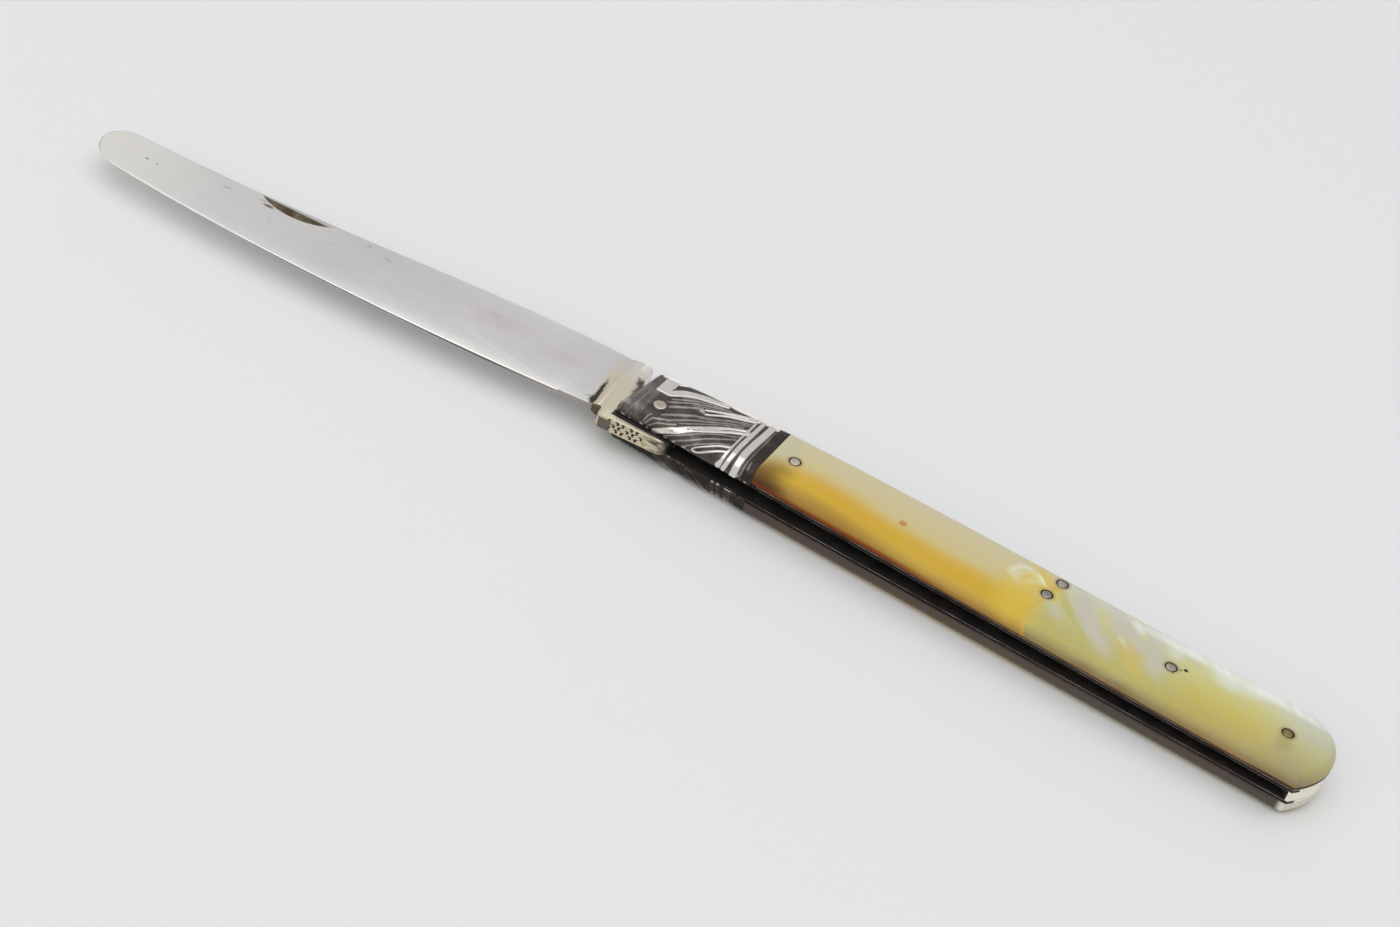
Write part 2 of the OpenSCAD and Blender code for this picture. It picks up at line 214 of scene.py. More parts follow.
soft_light("window", (0.05, 0.02, 1.28), 2.0, 7.4)
soft_light("low_window", (-0.38, 1.16, 0.21), 0.36, 0.55)
soft_light("front_fill", (-0.4, -1.05, 0.8), 1.3, 4.6)
print("world", world.name, "and", len(bpy.data.lights), "lamps")

# %% [markdown]
# Silver takes its look from use. A bright face is covered with hair-fine scratches that run along
# it, the tone wanders a little where hands have been, and hollows turn brown and then black. Three
# node groups make those effects once: scratches, a slow cloudy tone, and specks of tarnish. Every
# metal below is built from them with its own values.


# %% Mask helpers
def maths(tree, operation, a, b=0.0, c=0.0, clamp=False):
    return node(tree, "ShaderNodeMath", {0: a, 1: b, 2: c}, operation=operation,
                use_clamp=clamp).outputs[0]


def vectors(tree, operation, a, b):
    second = 3 if operation == "SCALE" else 1
    return node(tree, "ShaderNodeVectorMath", {0: a, second: b}, operation=operation).outputs[0]


def times(tree, *masks):
    """The product of masks and numbers."""
    product = masks[0]
    for mask in masks[1:]:
        product = maths(tree, "MULTIPLY", product, mask)
    return product


def noise(tree, at, scale, detail, **more):
    inputs = {"Vector": at, "Scale": scale, "Detail": detail, **more}
    return node(tree, "ShaderNodeTexNoise", inputs).outputs


print("helpers for sums, masks and noise")


# %% Group helpers
def new_group(name, inputs, outputs):
    """A node group with named number sockets, and the value that each input starts from."""
    tree = bpy.data.node_groups.new(name, "ShaderNodeTree")
    for label, value in inputs.items():
        socket = tree.interface.new_socket(label, in_out="INPUT", socket_type="NodeSocketFloat")
        socket.default_value = value
    for label in outputs:
        tree.interface.new_socket(label, in_out="OUTPUT", socket_type="NodeSocketFloat")
    return tree, tree.nodes.new("NodeGroupInput").outputs, tree.nodes.new("NodeGroupOutput").inputs


def use_group(tree, group, **inputs):
    """The outputs of a copy of the group, with its inputs filled in."""
    return node(tree, "ShaderNodeGroup", inputs, node_tree=group).outputs


print("helpers that make a group and place it")

# %% Groups for worn silver
scratches, given, out = new_group("scratches", {"Along": 900.0, "Across": 9000.0, "Strength": 0.5},
                                  ("Height", "Mask"))
where = node(scratches, "ShaderNodeTexCoord").outputs["Object"]
stretch = node(scratches, "ShaderNodeCombineXYZ",
               {0: given["Along"], 1: given["Across"], 2: given["Across"]}).outputs[0]
grain = noise(scratches, vectors(scratches, "MULTIPLY", where, stretch), 1.0, 3.0, Roughness=0.65)["Fac"]
plug(scratches, out["Height"], times(scratches, grain, given["Strength"]))
plug(scratches, out["Mask"], span(scratches, grain, 0.35, 0.7))

clouds, given, out = new_group("clouds", {"Scale": 120.0, "Low": 0.35, "High": 0.65}, ("Mask",))
where = node(clouds, "ShaderNodeTexCoord").outputs["Object"]
cloud = noise(clouds, where, given["Scale"], 4.0, Roughness=0.55, Distortion=0.4)["Fac"]
plug(clouds, out["Mask"], span(clouds, cloud, given["Low"], given["High"], smooth=True))

specks, given, out = new_group("specks", {"Scale": 400.0, "Size": 0.12, "Amount": 0.5}, ("Mask",))
where = node(specks, "ShaderNodeTexCoord").outputs["Object"]
cells = node(specks, "ShaderNodeTexVoronoi", {"Vector": where, "Scale": given["Scale"]}).outputs
lot = node(specks, "ShaderNodeSeparateColor", {0: cells["Color"]}).outputs[0]
chosen = maths(specks, "LESS_THAN", lot, given["Amount"])
dot = span(specks, cells["Distance"], given["Size"], 0.0, smooth=True)
plug(specks, out["Mask"], maths(specks, "MULTIPLY", dot, chosen, clamp=True))
print("groups:", [g.name for g in bpy.data.node_groups])


# %% Tone helpers
def blend_colour(tree, factor, a, b):
    return node(tree, "ShaderNodeMix", {0: factor, 6: a, 7: b}, data_type="RGBA").outputs[2]


def paint(tree, colour, tone, *masks):
    """The tone laid over the colour, as far as all the masks let it."""
    return blend_colour(tree, times(tree, *masks), colour, tone)


def bumped(tree, height, strength, distance):
    return node(tree, "ShaderNodeBump", {"Strength": strength, "Distance": distance,
                                         "Height": height}).outputs[0]


def fill(tree, shader, **made):
    """Join what the nodes worked out to the shader's inputs."""
    for key, value in made.items():
        tree.links.new(value, shader.inputs[key.replace("_", " ")])


print("helpers for tones, bumps and the shader")


# %% Metals
def worn_metal(name, bright, dull, roughness, along=900.0, scratch=0.25, cloud_scale=90.0):
    """Scratched, slightly cloudy silver or steel with a few specks of tarnish."""
    material, tree, shader = new_material(name, Metallic=1.0)
    lines = use_group(tree, scratches, Along=along, Across=9000.0, Strength=scratch)
    cloud = use_group(tree, clouds, Scale=cloud_scale)["Mask"]
    speck = use_group(tree, specks, Scale=350.0, Size=0.16, Amount=0.05)["Mask"]
    tarnish = tuple(c * 0.25 for c in dull[:3]) + (1,)
    colour = paint(tree, blend_colour(tree, cloud, bright, dull), tarnish,
                   maths(tree, "MULTIPLY", speck, 0.6, clamp=True))
    fill(tree, shader, Base_Color=colour, Roughness=span(tree, lines["Mask"], 0.0, 1.0, *roughness),
         Normal=bumped(tree, lines["Height"], 0.3, 4e-6))
    return material


edge_silver = worn_metal("edge_silver", srgb(214, 208, 198), srgb(176, 168, 156), (0.22, 0.36))
butt_silver = worn_metal("butt_silver", srgb(250, 244, 230), srgb(236, 227, 208), (0.1, 0.2), 300.0, 0.15)
# painted shade and a painted highlight for the belly edges: dark for faces that look out, bright for bevels
# that turn up
belly_shade_silver = worn_metal("belly_shade_silver", srgb(62, 54, 50), srgb(42, 36, 33), (0.4, 0.55), 300.0)
bevel_highlight_silver = worn_metal("bevel_highlight_silver", srgb(196, 190, 186), srgb(104, 97, 92), (0.25, 0.4), 300.0,
                           cloud_scale=260.0)
pin_silver = worn_metal("pin_silver", srgb(214, 206, 188), srgb(188, 180, 162), (0.3, 0.45), 4000.0,
                        cloud_scale=900.0)
grey_pin = worn_metal("greyed_pin", srgb(184, 177, 171), srgb(152, 144, 138), (0.32, 0.45), 4000.0,
                      cloud_scale=900.0)
brass_pin = worn_metal("stained_pin", srgb(150, 136, 92), srgb(112, 98, 62), (0.35, 0.5), 4000.0,
                       cloud_scale=900.0)
# painted shade: a near-black, slightly cloudy material for the faces inside the slot and on the spring's
# inside
slot_painted_shade, tree, shader = new_material("slot_painted_shade")
shade_cloud = use_group(tree, clouds, Scale=500.0)["Mask"]
fill(tree, shader, Base_Color=blend_colour(tree, shade_cloud, srgb(16, 13, 11), srgb(30, 25, 21)),
     Roughness=span(tree, shade_cloud, 0, 1, 0.6, 0.8))
print("metals:", [m.name for m in bpy.data.materials if m.name.endswith("silver")])

# %% [markdown]
# One outline serves every layer of the handle: the back, the rounded butt and the belly are three
# smooth curves, each pulled by two handles as in any drawing program. The liners, the scales and the
# bolsters are all cut to it, so it is worked out once here, more finely than in the CAD.

# %% Outline of the handle
BOLSTER_END, SCALE_START = 14.3, 14.35
LINER_T, SCALE_T, SLOT_FLOOR, SLOT_ROOF = 0.45, 1.95, 2.4, 4.4
FRONT_BASE, FRONT_FACE = SLOT_ROOF + LINER_T, SLOT_ROOF + LINER_T + SCALE_T
CROWN_W, CROWN_EDGE = 1.3, 0.6
CLOSING = math.tan(math.radians(0.5528))
# seen from the camera, a point that lies 1 mm deeper seems to stand this much further along the
# knife, and this much nearer to the belly
SHIFT_ALONG, SHIFT_ACROSS = 0.41, 1.17


def pull(a, b, c, d, n):
    """A curve from a to d that is pulled towards b and c."""
    t = np.linspace(0, 1, n + 1)[:, None]
    a, b, c, d = (np.array(p, float) for p in (a, b, c, d))
    return (1 - t) ** 3 * a + 3 * (1 - t) ** 2 * t * b + 3 * (1 - t) * t ** 2 * c + t ** 3 * d


back_line = pull((-3.4, 6.2), (12.3, 8.45), (26.3, 8.75), (80.2, 8.75), 60)
butt_line = pull((80.2, 8.75), (87.235, 9.35), (89.2, 2.2), (84.5, -3.25), 40)
belly_line = pull((84.5, -3.25), (50.756, -2.994), (20.564, -2.586), (-4.3, -2.05), 40)


def drop(x):
    """How far the front side has closed in at a place along the handle."""
    return max(0.0, x - SCALE_START) * CLOSING


print("outline", len(back_line) + len(butt_line) + len(belly_line), "points")

# %% [markdown]
# The bolsters are the show piece. On the real knife a silver block is filed round, then fluted with a
# graver: broad bright bands and droplets stand between sheaves of fine dark grooves, and a ringed
# collar closes the rear end. A bump map could fake that, but its edges would be flat and its
# outline straight. Here a fine grid is bent over the block like a sheet of foil, and each point is
# then pressed in by how far it lies from the nearest band. The same distance is kept as an
# attribute, so that the material knows what was polished and what stayed black.

# %% Bands of the engraving
# Each band is a line of stations: place along the knife, place across it, half width. Across is
# measured over the surface, from the back down over the rounded shoulder to the slot.
broad_bands = [
    [(-0.15, 3.05, .55), (0.6, 3.78, .55), (1.3, 4.38, .55), (2.2, 4.88, .53), (3.2, 5.25, .5),
     (4.2, 5.52, .44), (5.2, 5.76, .38), (6.2, 5.98, .3)],
    [(0.95, -3.85, .36), (2.0, -3.18, .4), (2.9, -2.6, .42), (3.8, -2.08, .43), (4.7, -1.38, .46),
     (5.5, -0.62, .5), (6.3, 0.12, .52), (7.1, 0.88, .54), (7.8, 1.52, .55), (8.6, 2.18, .53),
     (9.3, 2.68, .52), (10.2, 3.22, .52)],
    [(4.5, 3.38, .1), (5.16, 3.78, .14), (5.96, 4.26, .15), (6.6, 4.66, .18), (7.4, 5.12, .24),
     (8.2, 5.52, .24), (9.0, 5.84, .24), (9.8, 6.1, .26), (10.4, 6.3, .26)],
    [(4.84, 2.66, .1), (5.32, 2.92, .13), (5.96, 3.46, .14), (6.6, 4.0, .16), (7.24, 4.46, .2),
     (7.96, 4.84, .2), (8.68, 5.18, .2), (9.48, 5.58, .2), (10.2, 5.9, .2)],
    [(6.12, -3.52, .1), (6.4, -3.14, .1), (6.92, -2.72, .1), (7.72, -2.2, .11), (8.52, -1.66, .14),
     (9.32, -1.1, .17), (10.1, -0.62, .2)],
    [(6.1, -3.58, .11), (6.6, -3.66, .12), (7.16, -3.42, .14), (7.88, -2.9, .15), (8.68, -2.36, .15),
     (9.32, -1.98, .15), (10.1, -1.6, .16)],
    [(10.24, 6.6, .16), (10.26, 4, .15), (10.2, 2, .14), (10.2, 0, .15), (10.24, -1, .17),
     (10.15, -2, .21), (10.0, -3, .26), (9.75, -3.75, .38)],
    [(11.02, 6.6, .27), (10.95, 4, .3), (10.9, 2, .32), (10.88, 0, .32), (10.95, -1, .33),
     (10.9, -2, .3), (10.72, -3, .28), (10.5, -3.9, .3)],
    [(12.2, 6.6, .45), (12.1, 4, .46), (12.0, 2, .48), (11.95, 0, .47), (12.02, -1, .47),
     (12.05, -2, .44), (11.98, -3, .45), (11.85, -4.1, .45)],
]
small_bands = [
    [(4.0, 2.86, .13), (4.27, 3.2, .14), (4.55, 2.84, .13)],
    [(4.1, 2.8, .1), (4.6, 2.76, .1)],
    [(-4.42, -3.5, .13), (-4.3, -3.7, .12)], [(-3.62, -3.76, .1), (-3.2, -3.8, .1)],
    [(-2.62, -3.82, .06), (-2.4, -3.84, .06)], [(-1.05, -3.74, .12), (-0.75, -3.8, .12)],
    [(-0.15, -3.88, .07), (0.05, -3.9, .07)], [(2.3, -3.9, .08), (2.7, -3.86, .08)],
    [(3.5, -3.88, .11), (3.8, -3.84, .1)], [(4.85, -3.86, .11), (5.3, -3.86, .1)],
    [(5.6, -3.96, .05), (5.8, -3.96, .05)], [(12.25, -4.0, .16), (12.45, -3.7, .14)],
    [(13.5, -4.05, .08), (13.7, -4.05, .08)],
]
dark_cuts = [
    [(-0.22, 3.72, .09), (-0.1, 4.18, .13), (0.42, 4.62, .13), (1.0, 4.98, .12), (1.8, 5.36, .11),
     (2.6, 5.66, .1), (3.4, 5.87, .08), (5.1, 6.12, .06)],
    [(0.1, 5.0, .04), (0.5, 5.42, .07), (1.05, 5.72, .07), (2.0, 6.0, .05)],
    [(7.5, 1.22, .05), (8.2, 1.82, .12), (8.9, 2.42, .12), (10.0, 3.12, .1)],
    [(5.22, -0.98, .09), (5.46, -0.68, .08)], [(5.78, -0.34, .09), (5.86, -0.24, .08)],
    [(4.62, -1.36, .07), (4.74, -1.24, .06)], [(2.98, -2.58, .05), (3.12, -2.48, .05)],
    [(6.42, 4.24, .1), (6.56, 4.32, .1)], [(4.9, 3.12, .15), (5.5, 3.5, .12)],
    [(8.36, 5.3, .05), (8.8, 5.5, .06)], [(9.38, -1.5, .09), (9.5, -1.42, .08)],
    [(0.18, 3.36, .06), (0.24, 3.38, .06)], [(1.28, 4.16, .03), (1.32, 4.18, .03)],
    [(2.5, -2.9, .03), (2.9, -2.72, .03)],
]
fine_flutes = [
    [(0.52, 2.24, .14), (1.48, 3.04, .15), (2.28, 3.68, .14), (3.4, 4.36, .14), (4.84, 4.96, .12),
     (5.9, 5.38, .1)],
    [(1.3, 3.52, .07), (2.2, 4.1, .07), (3.4, 4.66, .07), (4.6, 5.14, .06)],
    [(0.52, 1.52, .12), (1.16, 2.08, .14), (1.8, 2.64, .14), (2.6, 3.28, .13), (3.56, 3.92, .13),
     (4.6, 4.48, .13), (5.8, 5.04, .12), (7.0, 5.5, .1)],
    [(2.9, 3.1, .06), (3.8, 3.62, .08), (4.8, 4.14, .08), (6.2, 4.8, .06)],
    [(1.0, 0.72, .2), (1.56, 1.28, .21), (2.2, 1.84, .2), (3.0, 2.56, .19), (3.72, 3.12, .16),
     (4.1, 3.5, .1)],
    [(1.0, -1.28, .1), (1.8, -0.56, .2), (2.6, 0.16, .22), (3.4, 0.88, .22), (4.04, 1.44, .18),
     (4.84, 1.92, .13), (5.8, 2.56, .11), (6.6, 3.12, .1), (7.8, 4.0, .1), (9.0, 4.72, .1),
     (10.0, 5.2, .08)],
    [(4.6, 1.4, .06), (5.5, 2.0, .09), (6.4, 2.7, .09), (7.4, 3.5, .09), (8.6, 4.25, .08),
     (9.9, 4.8, .08)],
    [(2.04, -1.6, .1), (2.84, -0.88, .13), (3.64, -0.08, .14), (4.44, 0.64, .14), (5.4, 1.36, .13),
     (6.44, 2.16, .12), (7.4, 2.96, .12), (8.36, 3.6, .11), (9.5, 4.24, .1)],
    [(3.3, -1.16, .08), (4.2, -0.44, .1), (5.0, 0.32, .11), (5.8, 1.04, .11), (6.6, 1.74, .1),
     (7.4, 2.46, .1), (8.2, 3.06, .09), (9.5, 3.8, .09)],
    [(-0.76, -3.4, .1), (-0.44, -2.4, .12), (-0.12, -1.84, .1)],
    [(-0.5, -3.6, .1), (0.2, -2.36, .13), (1.16, -1.92, .12), (2.2, -1.44, .1)],
    [(0.0, -3.6, .09), (1.0, -2.6, .11), (2.2, -2.08, .11), (3.08, -1.6, .09)],
    [(2.3, -3.8, .09), (3.4, -3.04, .11), (4.6, -2.3, .12), (5.48, -1.66, .12), (6.6, -0.64, .14),
     (7.4, 0.16, .14), (8.2, 0.8, .13), (9.0, 1.28, .11), (10.0, 1.9, .09)],
    [(3.6, -3.8, .1), (4.6, -3.12, .12), (5.64, -2.48, .12), (6.6, -1.76, .12), (7.4, -1.04, .13),
     (8.2, -0.32, .14), (9.0, 0.4, .13), (9.9, 1.16, .1)],
    [(5.0, -3.8, .1), (5.8, -3.12, .1), (6.6, -2.5, .1), (7.4, -2.02, .1), (8.2, -1.44, .11),
     (9.0, -0.76, .12), (10.0, -0.02, .1)],
    [(-3.08, 4.6, .08), (-3.12, 3, .1), (-3.12, 1, .14), (-3.2, -0.6, .14), (-3.45, -1.5, .14),
     (-3.82, -2.5, .14), (-4.15, -3.5, .14)],
    [(-2.3, 2.4, .1), (-2.3, 0, .15), (-2.36, -1, .13), (-2.6, -2, .12), (-3.0, -3.1, .12),
     (-3.3, -3.8, .12)],
    [(-1.48, 1.9, .05), (-1.48, 0, .07), (-1.52, -1, .07), (-1.72, -2.2, .07), (-2.05, -3.7, .07)],
    [(-2.02, -2.2, .05), (-2.5, -3.7, .06)],
    [(12.84, 5.8, .05), (12.84, 3, .06), (12.8, 1, .05), (12.84, -1, .05), (12.88, -2, .06),
     (12.8, -3.2, .08), (12.5, -3.9, .12)],
    [(13.28, -1.2, .03), (13.38, -2.4, .05)],
]
# one bright field near the nose: its middle and half sizes
PATCH = (-1.06, 3.95, 0.84, 1.48)
# beyond this line the silver is plain and bright up to the back: places along, and across
FAR_RIM = ([-4, -1.9, 0, 1, 2, 3, 5, 8, 10, 13, 13.1, 14.4],
           [5.25, 5.3, 5.2, 5.85, 6.06, 6.16, 6.26, 6.25, 6.42, 6.35, 6.9, 7.1])
# the flutes are duller in front of the first place, and the ground is plain behind the second
NOSE_END, PLAIN_START = -1.2, 12.98
print(len(broad_bands), "broad bands,", len(fine_flutes), "fine flutes,", len(dark_cuts), "cuts")


# %% Distance to a band
def smooth_line(stations):
    """Extra stations on a curve through the given ones."""
    p = np.array(stations, float)
    p = np.vstack([2 * p[0] - p[1], p, 2 * p[-1] - p[-2]])
    t = np.linspace(0, 1, 6, endpoint=False)[:, None]
    parts = [0.5 * (2 * p[i] + (p[i + 1] - p[i - 1]) * t
                    + (2 * p[i - 1] - 5 * p[i] + 4 * p[i + 1] - p[i + 2]) * t ** 2
                    + (3 * p[i] - p[i - 1] - 3 * p[i + 1] + p[i + 2]) * t ** 3)
             for i in range(1, len(p) - 2)]
    return np.vstack(parts + [p[-2:-1]])


def depth_in(stations, u, s):
    """How deep each point lies inside a band: above zero inside, below zero outside."""
    line = smooth_line(stations)
    best = np.full(u.shape, -9.0)
    for a, b in zip(line[:-1], line[1:]):
        d = b[:2] - a[:2]
        t = np.clip(((u - a[0]) * d[0] + (s - a[1]) * d[1]) / max(1e-9, d @ d), 0, 1)
        gap = np.hypot(u - a[0] - t * d[0], s - a[1] - t * d[1])
        best = np.maximum(best, a[2] + t * (b[2] - a[2]) - gap)
    return best


def deepest(bands, u, s):
    return np.max([depth_in(band, u, s) for band in bands], axis=0)


def edge(depth, soft):
    """0 outside, 1 inside, with a soft step of the given width."""
    t = np.clip(depth / soft + 0.5, 0, 1)
    return t * t * (3 - 2 * t)


print("the first band grows from", len(broad_bands[0]), "to", len(smooth_line(broad_bands[0])), "stations")


# %% Engraving
def engraving(u, s):
    """Height below the polished skin, in millimetres, and how bright each point is, from 0 to 1."""
    patch = np.minimum(PATCH[2] - abs(u - PATCH[0]), PATCH[3] - abs(s - PATCH[1]))
    broad = np.maximum(np.maximum(deepest(broad_bands, u, s), patch), s - np.interp(u, *FAR_RIM))
    bright = np.maximum(edge(broad, 0.13), 0.62 * edge(deepest(small_bands, u, s), 0.12))
    bright = bright * (1 - edge(deepest(dark_cuts, u, s), 0.1))
    flute = edge(deepest(fine_flutes, u, s), 0.3) * (1 - bright)
    plain, at_nose = edge(u - PLAIN_START, 0.1), edge(NOSE_END - u, 0.4)
    ground = -0.13 * (1 - plain) - 0.05 * plain
    height = ground * (1 - bright) + flute * (0.065 - 0.02 * at_nose)
    shine = np.maximum(bright, flute * (0.47 - 0.1 * at_nose))
    shine = np.maximum(shine, (0.12 + 0.1 * at_nose) * (1 - plain))
    return height, shine


sample = engraving(np.linspace(0, 10, 200), np.zeros(200))
print("along the middle the graver goes down to", round(float(sample[0].min()), 3), "mm")

# %% [markdown]
# The sheet of foil is a grid. Its rows climb the wall at the belly, roll over the shoulder, cross the
# flat face and go down again at the back, and its columns run from the nose to the scale.

# %% Skin of the bolster
COLUMNS, ROWS = 262, [18, 27, 92, 20, 8]
STOPS = np.cumsum([0] + ROWS)
PROUD, BLOCK_LEN = 0.04, 18.15
RISE = SCALE_T - CROWN_EDGE
SKIRT = FRONT_BASE - SLOT_ROOF + CROWN_EDGE - 0.02
QUARTER = np.radians(90)


def block_sides(t):
    """Points along the belly and the back of the block, which stand a little proud of the liners."""
    sides = []
    for line, out in ((belly_line[::-1], -PROUD), (back_line, PROUD)):
        x = line[0, 0] - PROUD + t * (BOLSTER_END - line[0, 0] + PROUD)
        sides.append(np.stack([x, np.interp(x, line[:, 0], line[:, 1]) + out], 1))
    return sides


def shoulders(row):
    """Angles over the belly's shoulder and over the back's: 0 at the wall and 90 on the flat."""
    return (QUARTER * np.clip((row - STOPS[1]) / ROWS[1], 0, 1),
            QUARTER * np.clip((STOPS[4] - row) / ROWS[3], 0, 1))


def block_skin(t, row):
    """Each point's x and y, how far it lies below the face, and the nose's and the walls' part in that."""
    (belly, back), (a, b) = block_sides(t), shoulders(row)
    width = np.hypot(*(back - belly).T)
    on_back = row > STOPS[3]
    on_flat = np.clip((row - STOPS[2]) / ROWS[2], 0, 1)
    inset = CROWN_W * (1 - np.cos(a)) + on_flat * (width - 2 * CROWN_W)
    inset = np.where(on_back, width - CROWN_W * (1 - np.cos(b)), inset)
    xy = belly + (back - belly) / width[:, None] * inset[:, None]
    to_nose = np.clip(t * BLOCK_LEN, 0, CROWN_W)
    nose_sink = RISE * (1 - np.sin(np.arccos(1 - to_nose / CROWN_W)))
    on_walls = np.clip((STOPS[1] - row) / ROWS[0], 0, 1) + np.clip((row - STOPS[4]) / ROWS[4], 0, 1)
    low_wall = SKIRT * on_walls
    sink = RISE * np.maximum(1 - np.sin(a), np.where(on_back, 1 - np.sin(b), 0))
    return xy, np.maximum(sink, nose_sink) + low_wall, nose_sink, low_wall


print("a bolster has", COLUMNS, "columns and", sum(ROWS), "rows")

# %% [markdown]
# The engraver's drawing was made as the camera sees the bolster. So each point also gets a place on
# the drawing, and a point that lies lower, at the nose or on a shoulder, is looked up a little aside.

# %% Place on the drawing
TURNED_AWAY = np.radians(44)
BEYOND = 1.2  # how fast the drawing runs on where the surface has turned away


def on_drawing(t, row, xy, nose_sink, low_wall):
    """Each point's place on the drawing, along and across."""
    (belly, back), (a, b) = block_sides(t), shoulders(row)
    on_back, on_belly = row > STOPS[3], row <= STOPS[2]
    u = xy[:, 0] + np.where(row <= STOPS[1], 0, SHIFT_ALONG * nose_sink)
    u = u + np.where(on_back, SHIFT_ALONG * RISE * (1 - np.sin(b)), 0)
    # over the belly's shoulder the drawing is rolled out along the surface
    fine = np.linspace(0, QUARTER, 91)
    steps = np.hypot(np.diff(CROWN_W * np.cos(fine)), np.diff(RISE * np.sin(fine)))
    arc = np.concatenate([[0], np.cumsum(steps)])
    rolled = belly[:, 1] + CROWN_W - (arc[-1] - np.interp(a, fine, arc)) - low_wall
    s = xy[:, 1] - SHIFT_ACROSS * np.where(on_back | on_belly, 0, nose_sink)
    s = np.where(on_belly, rolled - SHIFT_ACROSS * nose_sink * np.sin(a), s)
    # over the back's shoulder it is looked up as the camera sees it, until the surface turns away
    lean = QUARTER - b

    def seen(angle):
        return back[:, 1] - CROWN_W + CROWN_W * np.sin(angle) - SHIFT_ACROSS * RISE * (1 - np.cos(angle))

    seen_s = np.where(lean > TURNED_AWAY, seen(TURNED_AWAY) + BEYOND * (lean - TURNED_AWAY), seen(lean))
    return u, np.where(on_back, seen_s - SHIFT_ACROSS * nose_sink + low_wall, s)


print("the back turns away from the camera at", round(math.degrees(TURNED_AWAY)), "degrees")


# %% Pressing in
def press(points, height, t, row):
    """Points moved by a height along the surface, which is found from their neighbours."""
    order = np.lexsort((np.round(t * COLUMNS), np.round(row)))
    sheet = points[order].reshape(sum(ROWS) + 1, COLUMNS + 1, 3)
    normal = np.cross(np.gradient(sheet, axis=1), np.gradient(sheet, axis=0))
    normal /= np.maximum(1e-9, np.linalg.norm(normal, axis=2, keepdims=True))
    pressed = np.empty_like(points)
    pressed[order] = (sheet + normal * height[order].reshape(*sheet.shape[:2], 1)).reshape(-1, 3)
    return pressed


print("the engraving is pressed into", (COLUMNS + 1) * (sum(ROWS) + 1), "points")

# %% [markdown]
# A finished piece always goes the same way: doubles merged, normals turned outwards, smooth shading
# with sharp edges kept; then it gets its materials, is hung on the empty of the body it rides on,
# and the CAD node it stands for is hidden.


# %% Finishing helper
def finish_piece(bm, name, body, materials, stands_for, sharp=28, merge=1e-6):
    bmesh.ops.remove_doubles(bm, verts=bm.verts, dist=merge)
    bmesh.ops.recalc_face_normals(bm, faces=bm.faces)
    mesh = bpy.data.meshes.new(name)
    bm.to_mesh(mesh)
    bm.free()
    mesh.shade_smooth()
    mesh.set_sharp_from_angle(angle=math.radians(sharp))
    for material in materials:
        mesh.materials.append(material)
    piece = added(name, mesh)
    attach(piece, body)
    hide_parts(stands_for)
    print(name, len(mesh.polygons), "faces on", body)
    return piece


# %% [markdown]
# A bolster is one closed block of silver: the long rims of the sheet are bridged across
# the underside, and both ends are filled. The rear one is the same block turned over. Its wall at
# the belly is darkened, partly as tarnish and partly as painted shade, apart from a bright thread
# along the rim.


# %% Bolster block
def bolster_block(name, flip, stands_for):
    bm = bmesh.new()
    shine_layer = bm.verts.layers.float.new("shine")
    bmesh.ops.create_grid(bm, x_segments=COLUMNS, y_segments=sum(ROWS), size=0.5)
    grid = np.array([v.co[:2] for v in bm.verts]) + 0.5
    t, row = grid[:, 0], grid[:, 1] * sum(ROWS)
    xy, sink, nose_sink, low_wall = block_skin(t, row)
    height, shine = engraving(*on_drawing(t, row, xy, nose_sink, low_wall))
    if flip:
        # the rear block's belly wall loses most of its shine: partly tarnish, partly painted shade
        above_wall = np.clip((row - STOPS[1]) / ROWS[1], 0, 1)
        shine = shine * np.where(row < 2, 0.7, 0.08 + 0.92 * above_wall)
    points = np.stack([xy[:, 0], xy[:, 1], FRONT_FACE - sink], 1)
    pressed = press(points, height, t, row)
    at_rim = (row < 0.5) | (row > sum(ROWS) - 0.5)
    pressed[at_rim, 2] = points[at_rim, 2]
    pressed[t > 0.999, 0] = BOLSTER_END
    for v, p, bright in zip(bm.verts, pressed, shine):
        v.co = place(p[0], p[1], FRONT_FACE - p[2] if flip else p[2])
        v[shine_layer] = bright
    rims = [{v for v, r in zip(bm.verts, row) if abs(r - end) < 0.5} for end in (0, sum(ROWS))]
    bmesh.ops.bridge_loops(bm, edges=[e for rim in rims for e in bm.edges if rim.issuperset(e.verts)])
    bmesh.ops.holes_fill(bm, edges=[e for e in bm.edges if e.is_boundary], sides=0)
    print(name, "open edges left:", sum(e.is_boundary for e in bm.edges))
    return finish_piece(bm, name, "handle", [bolster_metal], stands_for, sharp=50)


# %% [markdown]
# The bolster's metal reads the attribute that the engraving left. Where it is 1 the silver was
# rubbed bright by a century of pockets, and where it is 0 the groove holds black tarnish. A little
# noise breaks the border, since polish never stops on a line. Low down in the rear bolster, under
# the tang, the silver is darkened with painted shade.


# %% Bolster metal
def from_pin(tree):
    """The point's place in millimetres from the pivot pin: as a vector, and as x, y and z."""
    here = node(tree, "ShaderNodeTexCoord").outputs["Object"]
    local = vectors(tree, "SCALE", vectors(tree, "ADD", here, tuple(-PIVOT)), 1 / MM)
    return local, node(tree, "ShaderNodeSeparateXYZ", {0: local}).outputs


